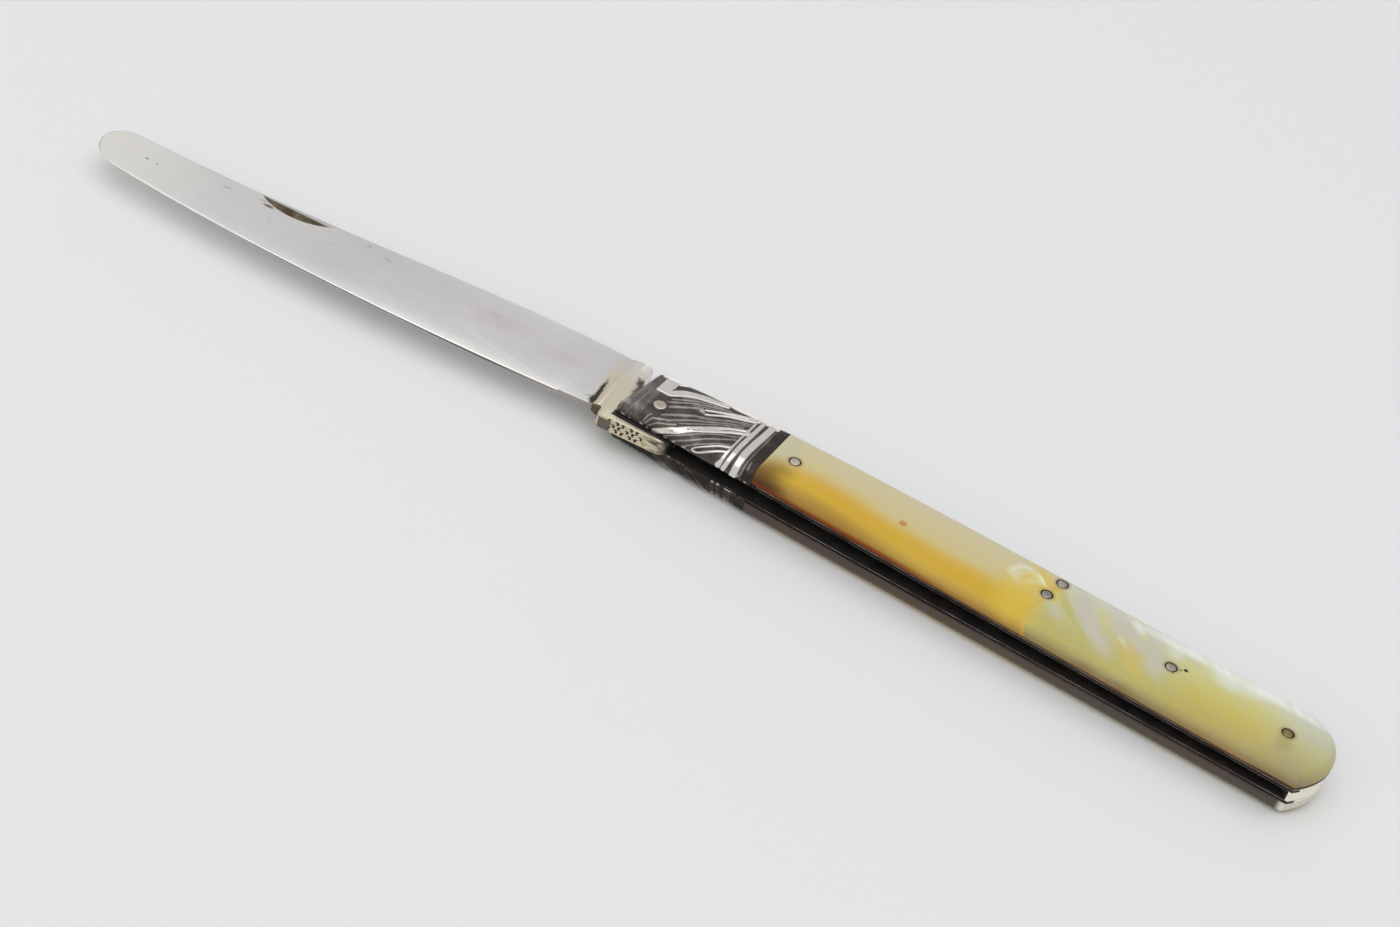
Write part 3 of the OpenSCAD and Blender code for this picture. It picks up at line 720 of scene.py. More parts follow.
bolster_metal, tree, shader = new_material("engraved_silver", Metallic=1.0)
shine = node(tree, "ShaderNodeAttribute", attribute_name="shine").outputs["Fac"]
cloud = use_group(tree, clouds, Scale=700.0, Low=0.3, High=0.7)["Mask"]
fine_cloud = use_group(tree, clouds, Scale=2600.0, Low=0.3, High=0.7)["Mask"]
uneven = maths(tree, "MULTIPLY_ADD", cloud, 0.12, maths(tree, "MULTIPLY_ADD", fine_cloud, 0.05, -0.08))
level = maths(tree, "ADD", shine, uneven, clamp=True)
colour = ramp(tree, level, [
    (0.0, srgb(64, 57, 53)), (0.14, srgb(92, 86, 82)), (0.4, srgb(156, 150, 146)),
    (0.75, srgb(212, 205, 200)), (1.0, srgb(230, 224, 218))])
along, across, up = from_pin(tree)[1]
# painted shade: the rear bolster's face towards the slot darkens under the tang, at the belly side
shade_under_tang = times(tree, span(tree, up, -1.0, -1.3), span(tree, across, -2.2, -3.2),
                 span(tree, along, 7.5, 4.5, 0.35, 0.8, smooth=True))
lines = use_group(tree, scratches, Along=2500.0, Across=7000.0, Strength=0.4)
rough = maths(tree, "MULTIPLY_ADD", lines["Mask"], 0.1, span(tree, level, 0.0, 1.0, 0.5, 0.28))
fill(tree, shader, Base_Color=paint(tree, colour, srgb(26, 21, 18), shade_under_tang), Roughness=rough,
     Normal=bumped(tree, lines["Height"], 0.12, 4e-6))
bolster_block("front_bolster_engraved", False, "front_bolster")
bolster_block("rear_bolster_engraved", True, "rear_bolster")

# %% [markdown]
# Each liner is a plain silver plate cut to the outline. It starts as one flat face, gets its
# thickness by extruding, and a hair of a bevel lets its edge catch the light, which is what draws
# the fine seams along the back of a real knife. Under the bolster the plate is cut back a little,
# because there the engraver worked over bolster and liner as one. Inside the slot the silver is
# painted near black as shade. Along the belly, faces that look out are painted dark as shade and
# bevels that turn up get a painted highlight; only the back and the butt are plain polished silver.


# %% Mesh helpers
def flat_face(outline, z):
    """A mesh with one face over the outline."""
    bm = bmesh.new()
    bm.faces.new([bm.verts.new(place(x, y, z)) for x, y in outline])
    return bm


def raise_face(bm, thickness):
    """What is drawn gets a thickness, and the faces on top come back."""
    raised = bmesh.ops.extrude_face_region(bm, geom=bm.faces[:])["geom"]
    bmesh.ops.translate(bm, verts=[g for g in raised if isinstance(g, bmesh.types.BMVert)],
                        vec=(0, 0, thickness * MM))
    bmesh.ops.recalc_face_normals(bm, faces=bm.faces)
    return [g for g in raised if isinstance(g, bmesh.types.BMFace)]


def cut_square(bm, x, clear_inner=False):
    bmesh.ops.bisect_plane(bm, geom=bm.verts[:] + bm.edges[:] + bm.faces[:], plane_co=place(x, 0, 0),
                           plane_no=(1, 0, 0), clear_inner=clear_inner)


def sharp_edges(bm, angle, shortest=0.0):
    """Edges at which two faces turn by more than an angle, apart from very short ones."""
    return [e for e in bm.edges if e.calc_face_angle(0) > angle and e.calc_length() >= shortest * MM]


def soften(bm, edges, offset, segments, clamp=False):
    bmesh.ops.bevel(bm, geom=edges, offset=offset * MM, segments=segments, profile=0.5, affect="EDGES",
                    material=-1, clamp_overlap=clamp)


def close_towards_butt(bm):
    """Tilt the front side, so that the slot closes towards the butt."""
    for v in bm.verts:
        v.co.z -= drop((v.co.x - PIVOT.x) / MM) * MM


print("at the butt pin the slot has closed by", round(drop(81.1), 2), "mm")


# %% Liners
OUTLINE = np.vstack([back_line, butt_line[1:], belly_line[1:]])
METALS = [edge_silver, slot_painted_shade, belly_shade_silver, bevel_highlight_silver, butt_silver]
BACK, INSIDE, BELLY, THREAD, BUTT = range(len(METALS))
FLAT, BUTT_START, NOSE_EDGE, CUT_BACK = 0.92, 80, -3.3, 0.3


def dress_by_place(bm):
    """Which metal shows where: polished at back and butt, painted shade and highlight on the belly, painted
    black shade within.
    """
    for face in bm.faces:
        c = (face.calc_center_median() - PIVOT) / MM
        flatness = abs(face.normal.z)
        if flatness > FLAT:
            face.material_index = INSIDE
        # along the belly, a bevel that turns up gets a painted highlight and a face that looks out gets
        # painted shade
        elif c.y < 0.5 and face.normal.y < -0.6:
            face.material_index = THREAD if flatness > 0.3 else BELLY
        else:
            face.material_index = BUTT if c.x > BUTT_START else BACK


def liner_plate(name, low, closes, stands_for):
    points = OUTLINE.copy()
    under = points[:, 0] < BOLSTER_END
    points[under & (points[:, 1] < 0), 1] += CUT_BACK
    points[under & (points[:, 1] > 0), 1] -= CUT_BACK
    points[points[:, 0] < NOSE_EDGE, 0] += CUT_BACK
    bm = flat_face(points, low)
    for x in (BOLSTER_END - 0.02, SCALE_START):
        cut_square(bm, x)
    raise_face(bm, LINER_T)
    soften(bm, sharp_edges(bm, 1.0), 0.04, segments=2)
    if closes:
        close_towards_butt(bm)
    dress_by_place(bm)
    return finish_piece(bm, name, "handle", METALS, stands_for, merge=1e-7)


liner_plate("front_liner_plate", SLOT_ROOF, True, "front_liner")
liner_plate("rear_liner_plate", SLOT_FLOOR - LINER_T, False, "rear_liner")

# %% [markdown]
# The spring's shape was worked out in the CAD, with the seat for the tang and the tail round the
# butt pin, so its piece starts as a clean copy of that solid. Its outside is polished with the
# liners' edges, and its inside is painted as black as the slot, as shade.


# %% Back spring
def copy_of_node(name):
    """The CAD node's own shape as a clean bmesh: merged, with its flat faces whole again."""
    bm = bmesh.new()
    bm.from_mesh(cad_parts[name].data)
    bmesh.ops.remove_doubles(bm, verts=bm.verts, dist=2e-6)
    bmesh.ops.dissolve_limit(bm, angle_limit=math.radians(0.5), verts=bm.verts, edges=bm.edges)
    bmesh.ops.recalc_face_normals(bm, faces=bm.faces)
    return bm


TAIL_START, SLOT_END = 79, 84.2
bm = copy_of_node("back_spring")
soften(bm, sharp_edges(bm, 0.9, shortest=0.12), 0.03, segments=1, clamp=True)
# faces near the rim that look out are polished, and all the others are painted black as shade, like the
# slot
for face in bm.faces:
    c = (face.calc_center_median() - PIVOT) / MM
    near_rim = np.min(np.hypot(OUTLINE[:, 0] - c.x, OUTLINE[:, 1] - c.y)) < 1.2
    looks_in = c.x < TAIL_START and face.normal.y < 0 or c.x < SLOT_END and face.normal.x < -0.5
    if near_rim and abs(face.normal.z) < FLAT and not looks_in:
        face.material_index = BUTT if c.x > BUTT_START else BACK
    else:
        face.material_index = INSIDE
finish_piece(bm, "back_spring_dressed", "handle", METALS, "back_spring", merge=1e-7)

# %% [markdown]
# The scales are slabs of mother of pearl with softly rounded edges. The outline face is raised by its
# plain edge and then inset ring by ring, each ring a little further in and a little less high, so
# that the rings follow a quarter of an ellipse. The slab is then cut square at the bolster, its pin
# holes are drilled with a boolean, and the front one is tilted to close the slot towards the butt.

# %% Drilling
PINS = {"fore": (17.1, 2.8), "mid": (50.2, 3.8), "aft": (66.4, 3.1), "spring": (50.95, 6.9),
        "butt": (81.1, 2.8)}
PIN_R, HOLE_R, SINK = 0.63, 0.72, 0.3
# beside the aft pin: places and radii
CHIPS = ((68.0, 3.82, 0.26), (67.5, 3.45, 0.12), (66.9, 2.3, 0.1))


def drilled(bm, cutters):
    """bm with the cutters taken away, by a boolean that is applied at once."""
    objects = []
    for source in (bm, cutters):
        mesh = bpy.data.meshes.new("work")
        source.to_mesh(mesh)
        source.free()
        objects.append(added("work", mesh))
    cut = objects[0].modifiers.new("cut", "BOOLEAN")
    cut.operation, cut.object, cut.solver = "DIFFERENCE", objects[1], "EXACT"
    result = bmesh.new()
    result.from_object(objects[0], bpy.context.evaluated_depsgraph_get())
    for made in objects:
        mesh = made.data
        bpy.data.objects.remove(made)
        bpy.data.meshes.remove(mesh)
    return result


print(len(PINS), "pin holes and", len(CHIPS), "chips to drill")


# %% Scales
def pearl_slab(name, flip, stands_for):
    # the corner's own short stretches would cross each other as the rings close in
    bm = flat_face(np.vstack([back_line, butt_line[1:-3], belly_line]), FRONT_BASE)
    top = raise_face(bm, CROWN_EDGE)
    steps = np.radians(np.linspace(0, 90, 11))
    for a, b in zip(steps[:-1], steps[1:]):
        bmesh.ops.inset_region(bm, faces=top, thickness=CROWN_W * (math.cos(a) - math.cos(b)) * MM,
                               depth=(SCALE_T - CROWN_EDGE) * (math.sin(b) - math.sin(a)) * MM,
                               use_even_offset=True, use_boundary=True)
    cut_square(bm, SCALE_START, clear_inner=True)
    bmesh.ops.holes_fill(bm, edges=[e for e in bm.edges if e.is_boundary], sides=0)
    cutters = bmesh.new()
    for x, y in PINS.values():
        bmesh.ops.create_cone(cutters, cap_ends=True, segments=40, radius1=HOLE_R * MM,
                              radius2=HOLE_R * MM, depth=2 * SINK * MM,
                              matrix=Matrix.Translation(place(x, y, FRONT_FACE)))
    for x, y, r in () if flip else CHIPS:
        bmesh.ops.create_icosphere(cutters, subdivisions=3, radius=r * MM,
                                   matrix=Matrix.Translation(place(x, y, FRONT_FACE)))
    bm = drilled(bm, cutters)
    if flip:
        for v in bm.verts:
            v.co.z = FRONT_FACE * MM - v.co.z
    else:
        close_towards_butt(bm)
    return finish_piece(bm, name, "handle", [pearl], stands_for, sharp=35, merge=2e-7)


print("a scale is", SCALE_T, "mm thick, and rounded over", CROWN_W, "mm at its edge")

# %% [markdown]
# A pin is a round rod, filed flush and burnished, so its end is very slightly domed. A cone with
# equal radii gives the rod, a bevel softens the rim, and insets raise the middle by a hair.


# %% Pins
def pin_rod(name, stands_for, spot, low, high, metal, radius=PIN_R, proud=0.015):
    bm = bmesh.new()
    bmesh.ops.create_cone(bm, cap_ends=True, segments=48, radius1=radius * MM, radius2=radius * MM,
                          depth=(high - low + 2 * proud) * MM,
                          matrix=Matrix.Translation(place(*spot, (low + high) / 2)))
    soften(bm, sharp_edges(bm, 1.0), 0.07, segments=3)
    for rise in (0.012, 0.008, 0.004):
        ends = [f for f in bm.faces if abs(f.normal.z) > 0.9 and len(f.verts) > 12]
        bmesh.ops.inset_individual(bm, faces=ends, thickness=radius * 0.22 * MM, depth=rise * MM)
    return finish_piece(bm, name, "handle", [metal], stands_for, sharp=40)


SHORT_OF_SLOT = 0.03
pin_rod("pivot_pin_rod", "pivot_pin", (0, 0), 0, FRONT_FACE, pin_silver, radius=0.8, proud=0.07)
for label, spot in PINS.items():
    metal = {"fore": pin_silver, "butt": brass_pin}.get(label, grey_pin)
    closing = drop(spot[0])
    if label in ("spring", "butt"):
        pin_rod(label + "_pin_rod", label + "_pin", spot, 0, FRONT_FACE - closing, metal)
    else:
        pin_rod("front_pin_" + label, "front_scale_pin_" + label, spot,
                SLOT_ROOF - closing + SHORT_OF_SLOT, FRONT_FACE - closing, metal)
        pin_rod("rear_pin_" + label, "rear_scale_pin_" + label, spot, 0, SLOT_FLOOR - SHORT_OF_SLOT, metal)

# %% [markdown]
# Mother of pearl is layered like the pages of a book, and where the layers are cut across the tone
# runs in bands: here honey gold along the belly and cream along the back, with a burnt corner by the
# bolster, and beyond a seam in the shell a cooler, greener field with slanting silver streaks. One
# ramp across the scale paints each field, and soft patches paint what happens in one place only. The
# ramps run on over the rounded edge, because the layers do too: a point's place across the scale is
# taken less how far it lies below the face. A slow noise bends the place, so that no border is ruled.
# A thin clear coat gives the polish.

# %% Place in the shell
pearl, tree, shader = new_material("mother_of_pearl", Coat_Weight=0.06, Coat_Roughness=0.2,
                                   Coat_IOR=1.45, Specular_IOR_Level=0.15)
along, straight_across, up = from_pin(tree)[1]
on_front = maths(tree, "GREATER_THAN", up, 0.0)
past_start = maths(tree, "MAXIMUM", maths(tree, "SUBTRACT", along, SCALE_START), 0.0)
closed = times(tree, past_start, CLOSING, on_front)
face_level = maths(tree, "MULTIPLY_ADD", closed, -1.0, FRONT_FACE / 2)
depth = maths(tree, "SUBTRACT", face_level, maths(tree, "ABSOLUTE", up))
across = maths(tree, "MULTIPLY_ADD", depth, -SHIFT_ACROSS, straight_across)
flat = node(tree, "ShaderNodeCombineXYZ", {0: along, 1: across}).outputs[0]
warp = noise(tree, vectors(tree, "MULTIPLY", flat, (0.09, 0.2, 0.3)), 1.0, 2.0)["Color"]
warp = vectors(tree, "MULTIPLY", vectors(tree, "ADD", warp, (-0.5, -0.5, -0.5)), (4.0, 1.7, 0.0))
bent = vectors(tree, "ADD", flat, warp)
bent_along, bent_across, _ = node(tree, "ShaderNodeSeparateXYZ", {0: bent}).outputs
print("a point's place in the shell takes", len(tree.nodes), "nodes")

# %% Fields of the pearl
level = span(tree, bent_across, -5.0, 8.8)
honey = ramp(tree, level, [
    (0.03, srgb(172, 134, 64)), (0.16, srgb(192, 160, 58)), (0.30, srgb(208, 170, 52)),
    (0.44, srgb(208, 178, 88)), (0.56, srgb(206, 190, 136)), (0.95, srgb(204, 195, 164))])
green = ramp(tree, level, [
    (0.03, srgb(154, 140, 86)), (0.20, srgb(184, 173, 92)), (0.40, srgb(190, 182, 112)),
    (0.60, srgb(196, 192, 142)), (0.95, srgb(206, 208, 190))])
late = ramp(tree, level, [
    (0.03, srgb(158, 138, 84)), (0.20, srgb(186, 168, 82)), (0.42, srgb(201, 182, 84)),
    (0.68, srgb(206, 198, 126)), (0.95, srgb(218, 221, 208))])
cool = ramp(tree, level, [
    (0.03, srgb(142, 127, 86)), (0.22, srgb(170, 158, 102)), (0.50, srgb(190, 184, 132)),
    (0.75, srgb(198, 199, 174)), (0.95, srgb(206, 208, 198))])
# the seam in the shell is a shallow arrow that points to the blade
SEAM, ARROW = 49.3, -0.26
off_point = maths(tree, "ABSOLUTE", maths(tree, "ADD", across, 0.8))
seam_x = maths(tree, "MULTIPLY_ADD", off_point, ARROW, along)
colour = blend_colour(tree, span(tree, seam_x, SEAM - 0.2, SEAM + 0.3, smooth=True), honey, green)
colour = blend_colour(tree, span(tree, bent_along, 65.0, 71.0, smooth=True), colour, late)
colour = blend_colour(tree, span(tree, bent_along, 76.5, 83.0, smooth=True), colour, cool)
print("four fields, with the seam at", SEAM, "mm")


# %% Patches of the pearl
def spot_mask(tree, at, x, y, long, wide, turn, soft):
    """1 inside an ellipse, 0 outside: its middle, half sizes, turn in degrees and softness."""
    placed = {"Location": (x, y, 0), "Scale": (long, wide, 1000.0), "Rotation": (0, 0, math.radians(turn))}
    mapped = node(tree, "ShaderNodeMapping", {"Vector": at, **placed}, vector_type="TEXTURE")
    reach = node(tree, "ShaderNodeVectorMath", {0: mapped.outputs[0]}, operation="LENGTH").outputs["Value"]
    return span(tree, reach, 1.0 + soft / 2, 1.0 - soft / 2, smooth=True)


amber, lemon, lilac = srgb(208, 164, 40), srgb(216, 186, 62), srgb(197, 191, 180)
# pale_and_sheen is a pale tone of the shell in a few patches, and a painted highlight in those along the
# back edge
pale_and_sheen, olive = srgb(228, 230, 220), srgb(188, 181, 96)
# middle along and across, half sizes, turn in degrees, softness, strength and tone
patches = [
    (15.0, 4.5, 2.0, 4.5, 0, 1.5, 0.5, srgb(190, 191, 172)), (24.5, 0.4, 5.5, 2.2, -4, 1.7, 0.75, amber),
    (36.0, -0.6, 12.0, 1.7, -2, 1.4, 0.55, amber), (24.0, -3.3, 8.5, 1.7, 0, 1.3, 0.6, srgb(150, 108, 34)),
    (16.3, -1.2, 2.0, 2.5, 0, 1.6, 0.72, srgb(114, 84, 16)),
    (15.7, -2.6, 1.7, 1.6, 0, 1.6, 0.72, srgb(86, 48, 2)),
    (15.4, -4.3, 3.0, 1.3, 0, 1.5, 0.95, srgb(60, 24, 4)), (47.6, 0.5, 2.4, 4.2, 12, 1.3, 0.7, lemon),
    (48.4, 5.2, 1.6, 2.6, 10, 1.0, 0.7, lemon), (46.5, 5.0, 1.5, 1.4, 0, 1.0, 0.6, srgb(214, 204, 160)),
    (45.5, 5.4, 0.5, 1.1, 12, 1.2, 0.35, pale_and_sheen), (46.4, 6.5, 1.0, 0.35, 10, 1.2, 0.35, pale_and_sheen),
    (47.2, 4.8, 0.25, 1.2, -8, 1.2, 0.6, lemon), (50.3, 5.3, 0.5, 0.6, 0, 1.3, 0.55, srgb(146, 118, 58)),
    (51.9, 1.9, 1.6, 0.8, -50, 1.4, 0.6, lilac), (50.9, 4.4, 0.9, 1.7, 25, 1.0, 0.6, lemon),
    (54.4, 5.2, 3.4, 1.2, -52, 1.3, 0.8, lilac), (57.2, 2.0, 3.4, 1.3, -50, 1.2, 0.85, lilac),
    (60.4, 4.6, 3.8, 1.5, -52, 1.2, 0.8, lilac), (53.9, 2.6, 4.4, 0.55, -46, 1.1, 0.75, olive),
    (57.6, 4.9, 2.6, 0.5, -44, 1.2, 0.65, srgb(206, 198, 132)),
    (58.2, -4.5, 1.4, 0.8, 0, 1.7, 0.5, srgb(122, 96, 66)),
    (62.9, -4.7, 1.8, 0.8, 0, 1.7, 0.45, srgb(122, 98, 70)),
    (62.3, 1.1, 3.2, 1.05, -50, 1.1, 0.8, srgb(206, 184, 92)), (60.6, 3.0, 0.9, 0.35, -50, 1.7, 0.4, pale_and_sheen),
    (62.4, 5.4, 1.7, 0.35, -52, 0.9, 0.6, srgb(214, 204, 136)), (64.2, 3.4, 3.6, 1.1, -66, 1.2, 0.8, lilac),
    # painted highlights of the back shoulder: the pale patches from 61 to 76 mm along, near the back edge
    (61.2, 6.5, 0.9, 0.6, -40, 1.3, 0.8, pale_and_sheen), (66.0, 6.2, 0.9, 1.2, 0, 1.5, 0.5, pale_and_sheen),
    (68.8, 5.0, 1.7, 1.7, 0, 1.3, 0.5, srgb(206, 200, 128)), (72.8, 6.2, 1.7, 1.2, -20, 1.7, 0.75, pale_and_sheen),
    (76.0, 6.6, 1.6, 0.8, 10, 1.7, 0.65, pale_and_sheen), (65.6, 7.2, 2.9, 0.6, 0, 1.6, 0.6, pale_and_sheen),
    (81.2, 1.0, 0.9, 1.6, 0, 1.6, 0.4, srgb(140, 128, 70)),
]
for x, y, long, wide, turn, soft, amount, tone in patches:
    colour = paint(tree, colour, tone, spot_mask(tree, bent, x, y, long, wide, turn, soft), amount)
print(len(patches), "patches")

# %% Swirl, crack and seam
# a pale swirl where the shell turned, in front of the middle pins, and one bright crack beside it
for x, y, long, wide, turn, amount in ((46.7, 4.9, 1.8, 1.6, 20, 0.42), (47.4, 4.3, 1.2, 1.9, -25, 0.25)):
    hoop = maths(tree, "SUBTRACT", spot_mask(tree, bent, x, y, long, wide, turn, 0.5),
                 spot_mask(tree, bent, x, y, long * 0.78, wide * 0.78, turn, 0.8), clamp=True)
    colour = paint(tree, colour, srgb(236, 236, 206), hoop,
                   span(tree, across, 2.6, 4.8, 0.15, amount, smooth=True))
crack = spot_mask(tree, flat, 48.8, 5.7, 1.0, 0.2, -44, 1.5)
colour = paint(tree, colour, srgb(232, 238, 212), crack, 0.8)
# an amber line runs down the seam
beside = maths(tree, "ABSOLUTE", maths(tree, "SUBTRACT", seam_x, SEAM))
colour = paint(tree, colour, srgb(216, 172, 54), span(tree, beside, 0.4, 0.05, smooth=True),
               span(tree, across, 6.0, 3.0, 0.1, 0.6))
print("pearl has", len(tree.nodes), "nodes with the swirl")

# %% [markdown]
# The layers themselves are very fine: a stretched noise gives them, level in front of the seam and
# slanting behind it. From 57 mm along, a painted highlight runs along the back edge, broken up by
# the same layers. Their shimmer is only a few hundredths of the tone, and the same noise is a faint
# bump under the polish.

# %% Layers of the pearl
slope = span(tree, along, 48.0, 52.0, 0.0, -1.0, smooth=True)
tilted = maths(tree, "MULTIPLY_ADD", times(tree, slope, along), -1.05, across)
layer_at = node(tree, "ShaderNodeCombineXYZ", {0: times(tree, along, 0.10), 1: times(tree, tilted, 0.9),
                                               2: up}).outputs[0]
layers = noise(tree, layer_at, 1.0, 5.0, Roughness=0.6)["Fac"]
shimmer = ramp(tree, layers, [(0.3, srgb(206, 176, 150)), (0.45, srgb(184, 196, 140)),
                              (0.6, srgb(190, 190, 190)), (0.75, srgb(222, 206, 170))], smooth=True)
colour = blend_colour(tree, span(tree, slope, 0.0, -1.0, 0.03, 0.13), colour, shimmer)
# painted highlight along the back edge, where the back shoulder catches the light from behind
colour = paint(tree, colour, srgb(238, 240, 236), span(tree, straight_across, 5.9, 7.1, smooth=True),
               span(tree, along, 57.0, 66.0), span(tree, layers, 0.35, 0.6, 0.25, 0.75))
print("pearl has", len(tree.nodes), "nodes so far")

# %% [markdown]
# An old scale is never clean. Against the liner its edge is burnt red in front and brown behind, a
# dark seam runs round the butt, and every pin sits in a ring of grime. The rear scale's belly edge is
# painted dark grey as shade, and where it turns to the butt it gets a painted reflection of the pale
# silver beside it.

# %% Edges of the pearl
colour = paint(tree, colour, srgb(132, 50, 4), span(tree, across, -3.6, -4.5, smooth=True),
               span(tree, along, 44.0, 30.0, 0.22, 0.92, smooth=True), span(tree, depth, 0.8, 1.3))
colour = paint(tree, colour, srgb(96, 48, 14), span(tree, depth, 1.55, 1.75, smooth=True), 0.75)
colour = paint(tree, colour, srgb(40, 24, 14), span(tree, depth, 1.8, 1.9))
colour = paint(tree, colour, srgb(58, 40, 22), span(tree, depth, 1.45, 1.62),
               span(tree, along, 78.0, 81.0), 0.85)
# painted shade: the rear scale's belly edge is painted dark grey
behind = times(tree, maths(tree, "SUBTRACT", 1.0, on_front), span(tree, depth, 0.15, 0.4))
belly_shade_ramp = ramp(tree, depth, [(0.15, srgb(112, 100, 66)), (0.5, srgb(90, 83, 77)), (1.0, srgb(80, 72, 68))])
colour = paint(tree, colour, belly_shade_ramp, behind, span(tree, straight_across, -0.6, -1.6, smooth=True), 0.92)
# painted reflection: where the rear scale's edge turns to the butt it is painted the pale silver of the
# metal beside it
colour = paint(tree, colour, srgb(236, 230, 214), behind, span(tree, along, 83.4, 84.2, smooth=True), 0.85)
print("pearl has", len(tree.nodes), "nodes with its edges")

# %% Dirt round the pins
spot_at = node(tree, "ShaderNodeCombineXYZ", {0: along, 1: straight_across}).outputs[0]


def gap_to(x, y):
    """How far the point lies from one spot on the face."""
    return node(tree, "ShaderNodeVectorMath", {0: spot_at, 1: (x, y, 0)},
                operation="DISTANCE").outputs["Value"]


near = None
for x, y in PINS.values():
    near = gap_to(x, y) if near is None else maths(tree, "MINIMUM", near, gap_to(x, y))
colour = paint(tree, colour, srgb(112, 88, 42), span(tree, near, 1.25, 0.78, 0.0, 0.42, smooth=True))
colour = paint(tree, colour, srgb(34, 24, 16), span(tree, near, 0.82, 0.74, smooth=True))
# a red speck, and the chips
dots = [(31.85, 2.4, 0.6, srgb(190, 132, 66))]
for (x, y, _), r, tone in zip(CHIPS, (0.34, 0.16, 0.14), ((40, 30, 22), (60, 46, 32), (60, 46, 32))):
    dots.append((x, y, r, srgb(*tone)))
for x, y, r, tone in dots:
    colour = paint(tree, colour, tone, span(tree, gap_to(x, y), r * 1.1, r * 0.5, 0.0, 0.85, smooth=True))
rough_cloud = use_group(tree, clouds, Scale=160.0)["Mask"]
fill(tree, shader, Base_Color=colour, Roughness=span(tree, rough_cloud, 0, 1, 0.36, 0.5),
     Normal=bumped(tree, layers, 0.1, 2e-5))
print("pearl has", len(tree.nodes), "nodes")
pearl_slab("front_scale_pearl", False, "front_scale")
pearl_slab("rear_scale_pearl", True, "rear_scale")

# %% [markdown]
# The blade is a clean copy of its CAD solid: the long flat faces, the rounded shoulder and the nail
# nick are exact there. What it lacks is the finish. Polished silver is nearly white, a little cooler
# in clouds, with a faint pink blush near the heel and a creamy ricasso, and it carries fine
# scratches, black specks and some stains, whose borders a small noise makes ragged. Towards the tip
# it is painted a little brighter, and by the shoulder and the bolster dark marks are painted as
# reflection and shade.

# %% Blade metal
bright_blade, tree, shader = new_material("bright_blade")
local, (along, across, up) = from_pin(tree)
ragged = vectors(tree, "ADD", noise(tree, local, 1.6, 5.0)["Color"], (-0.5, -0.5, -0.5))
ragged = vectors(tree, "ADD", local, vectors(tree, "SCALE", ragged, 0.7))
ragged_along = node(tree, "ShaderNodeSeparateXYZ", {0: ragged}).outputs[0]
lines = use_group(tree, scratches, Along=260.0, Across=9000.0, Strength=0.4)
cloud = use_group(tree, clouds, Scale=55.0, Low=0.3, High=0.7)["Mask"]
small_cloud = use_group(tree, clouds, Scale=420.0, Low=0.35, High=0.75)["Mask"]
speck = use_group(tree, specks, Scale=520.0, Size=0.17, Amount=0.035)["Mask"]
colour = blend_colour(tree, cloud, srgb(249, 247, 245), srgb(242, 239, 240))
colour = paint(tree, colour, srgb(236, 232, 232), small_cloud, 0.25)
# painted light: the tone is a little brighter and warmer towards the tip, for the light that falls there
colour = paint(tree, colour, srgb(252, 249, 240), span(tree, along, -62.0, -80.0, 0.0, 0.8))
for x, y, long, wide in ((-23.8, 3.3, 3.0, 1.4), (-14.0, 3.2, 2.2, 1.0)):
    blush = spot_mask(tree, ragged, x, y, long, wide, 10, 1.6)
    colour = paint(tree, colour, srgb(240, 222, 232), blush, 0.5)
heel = span(tree, maths(tree, "MULTIPLY_ADD", across, 0.16, along), -8.6, -8.0, smooth=True)
cream = times(tree, heel, span(tree, across, 7.6, 4.0, 0.35, 1.0))
colour = paint(tree, colour, srgb(228, 218, 196), cream)
colour = paint(tree, colour, srgb(120, 112, 104), speck, 0.55)
print("blade tone takes", len(tree.nodes), "nodes")

# %% Stains of the blade, with painted shade and reflection
# middle along and across, half sizes, turn in degrees and strength
marks = [
    (-57.5, 1.5, 0.75, 0.26, 4, 0.85), (-58.6, 2.0, 0.5, 0.14, 10, 0.5),
    (-74.08, -1.52, 0.24, 0.16, 0, 0.85), (-72.44, -1.61, 0.16, 0.1, 0, 0.6),
    (-71.0, -2.2, 0.14, 0.1, 0, 0.5), (-63.5, 0.9, 0.6, 0.1, 12, 0.35),
    (-55.9, -0.6, 0.16, 0.12, 0, 0.45), (-47.0, 1.2, 0.9, 0.07, 40, 0.3), (-40.6, 3.4, 0.5, 0.12, 8, 0.4),
    # the two broad marks about 8 mm before the pivot are a painted dark reflection on the shoulder's slope;
    # those 4.3 to 5.3 mm before it, by the bolster's nose, are painted shade
    (-8.02, 0.7, 2.45, 0.33, 99, 1.0), (-7.8, -1.2, 1.0, 0.46, 103, 1.0), (-8.5, -1.0, 0.6, 0.1, 20, 0.7),
    (-8.1, -1.7, 0.45, 0.1, 8, 0.6), (-4.7, 5.0, 0.75, 0.8, 30, 0.95), (-4.4, 3.9, 0.55, 1.4, -6, 0.9),
    (-4.35, 1.6, 0.3, 1.9, -6, 0.9), (-5.3, 5.6, 0.6, 0.16, -30, 0.8), (-24.9, 4.0, 0.9, 0.12, 14, 0.3),
    (-27.0, 3.4, 0.7, 0.1, 6, 0.25), (-44.0, 3.9, 0.35, 0.1, 10, 0.5), (-66.0, 2.6, 0.5, 0.08, 16, 0.35),
    (-62.0, 3.4, 0.35, 0.1, 12, 0.45),
]
stain_and_shade = None
for x, y, long, wide, turn, amount in marks:
    mask = times(tree, spot_mask(tree, ragged, x, y, long, wide, turn, 0.9), amount)
    stain_and_shade = mask if stain_and_shade is None else maths(tree, "MAXIMUM", stain_and_shade, mask)
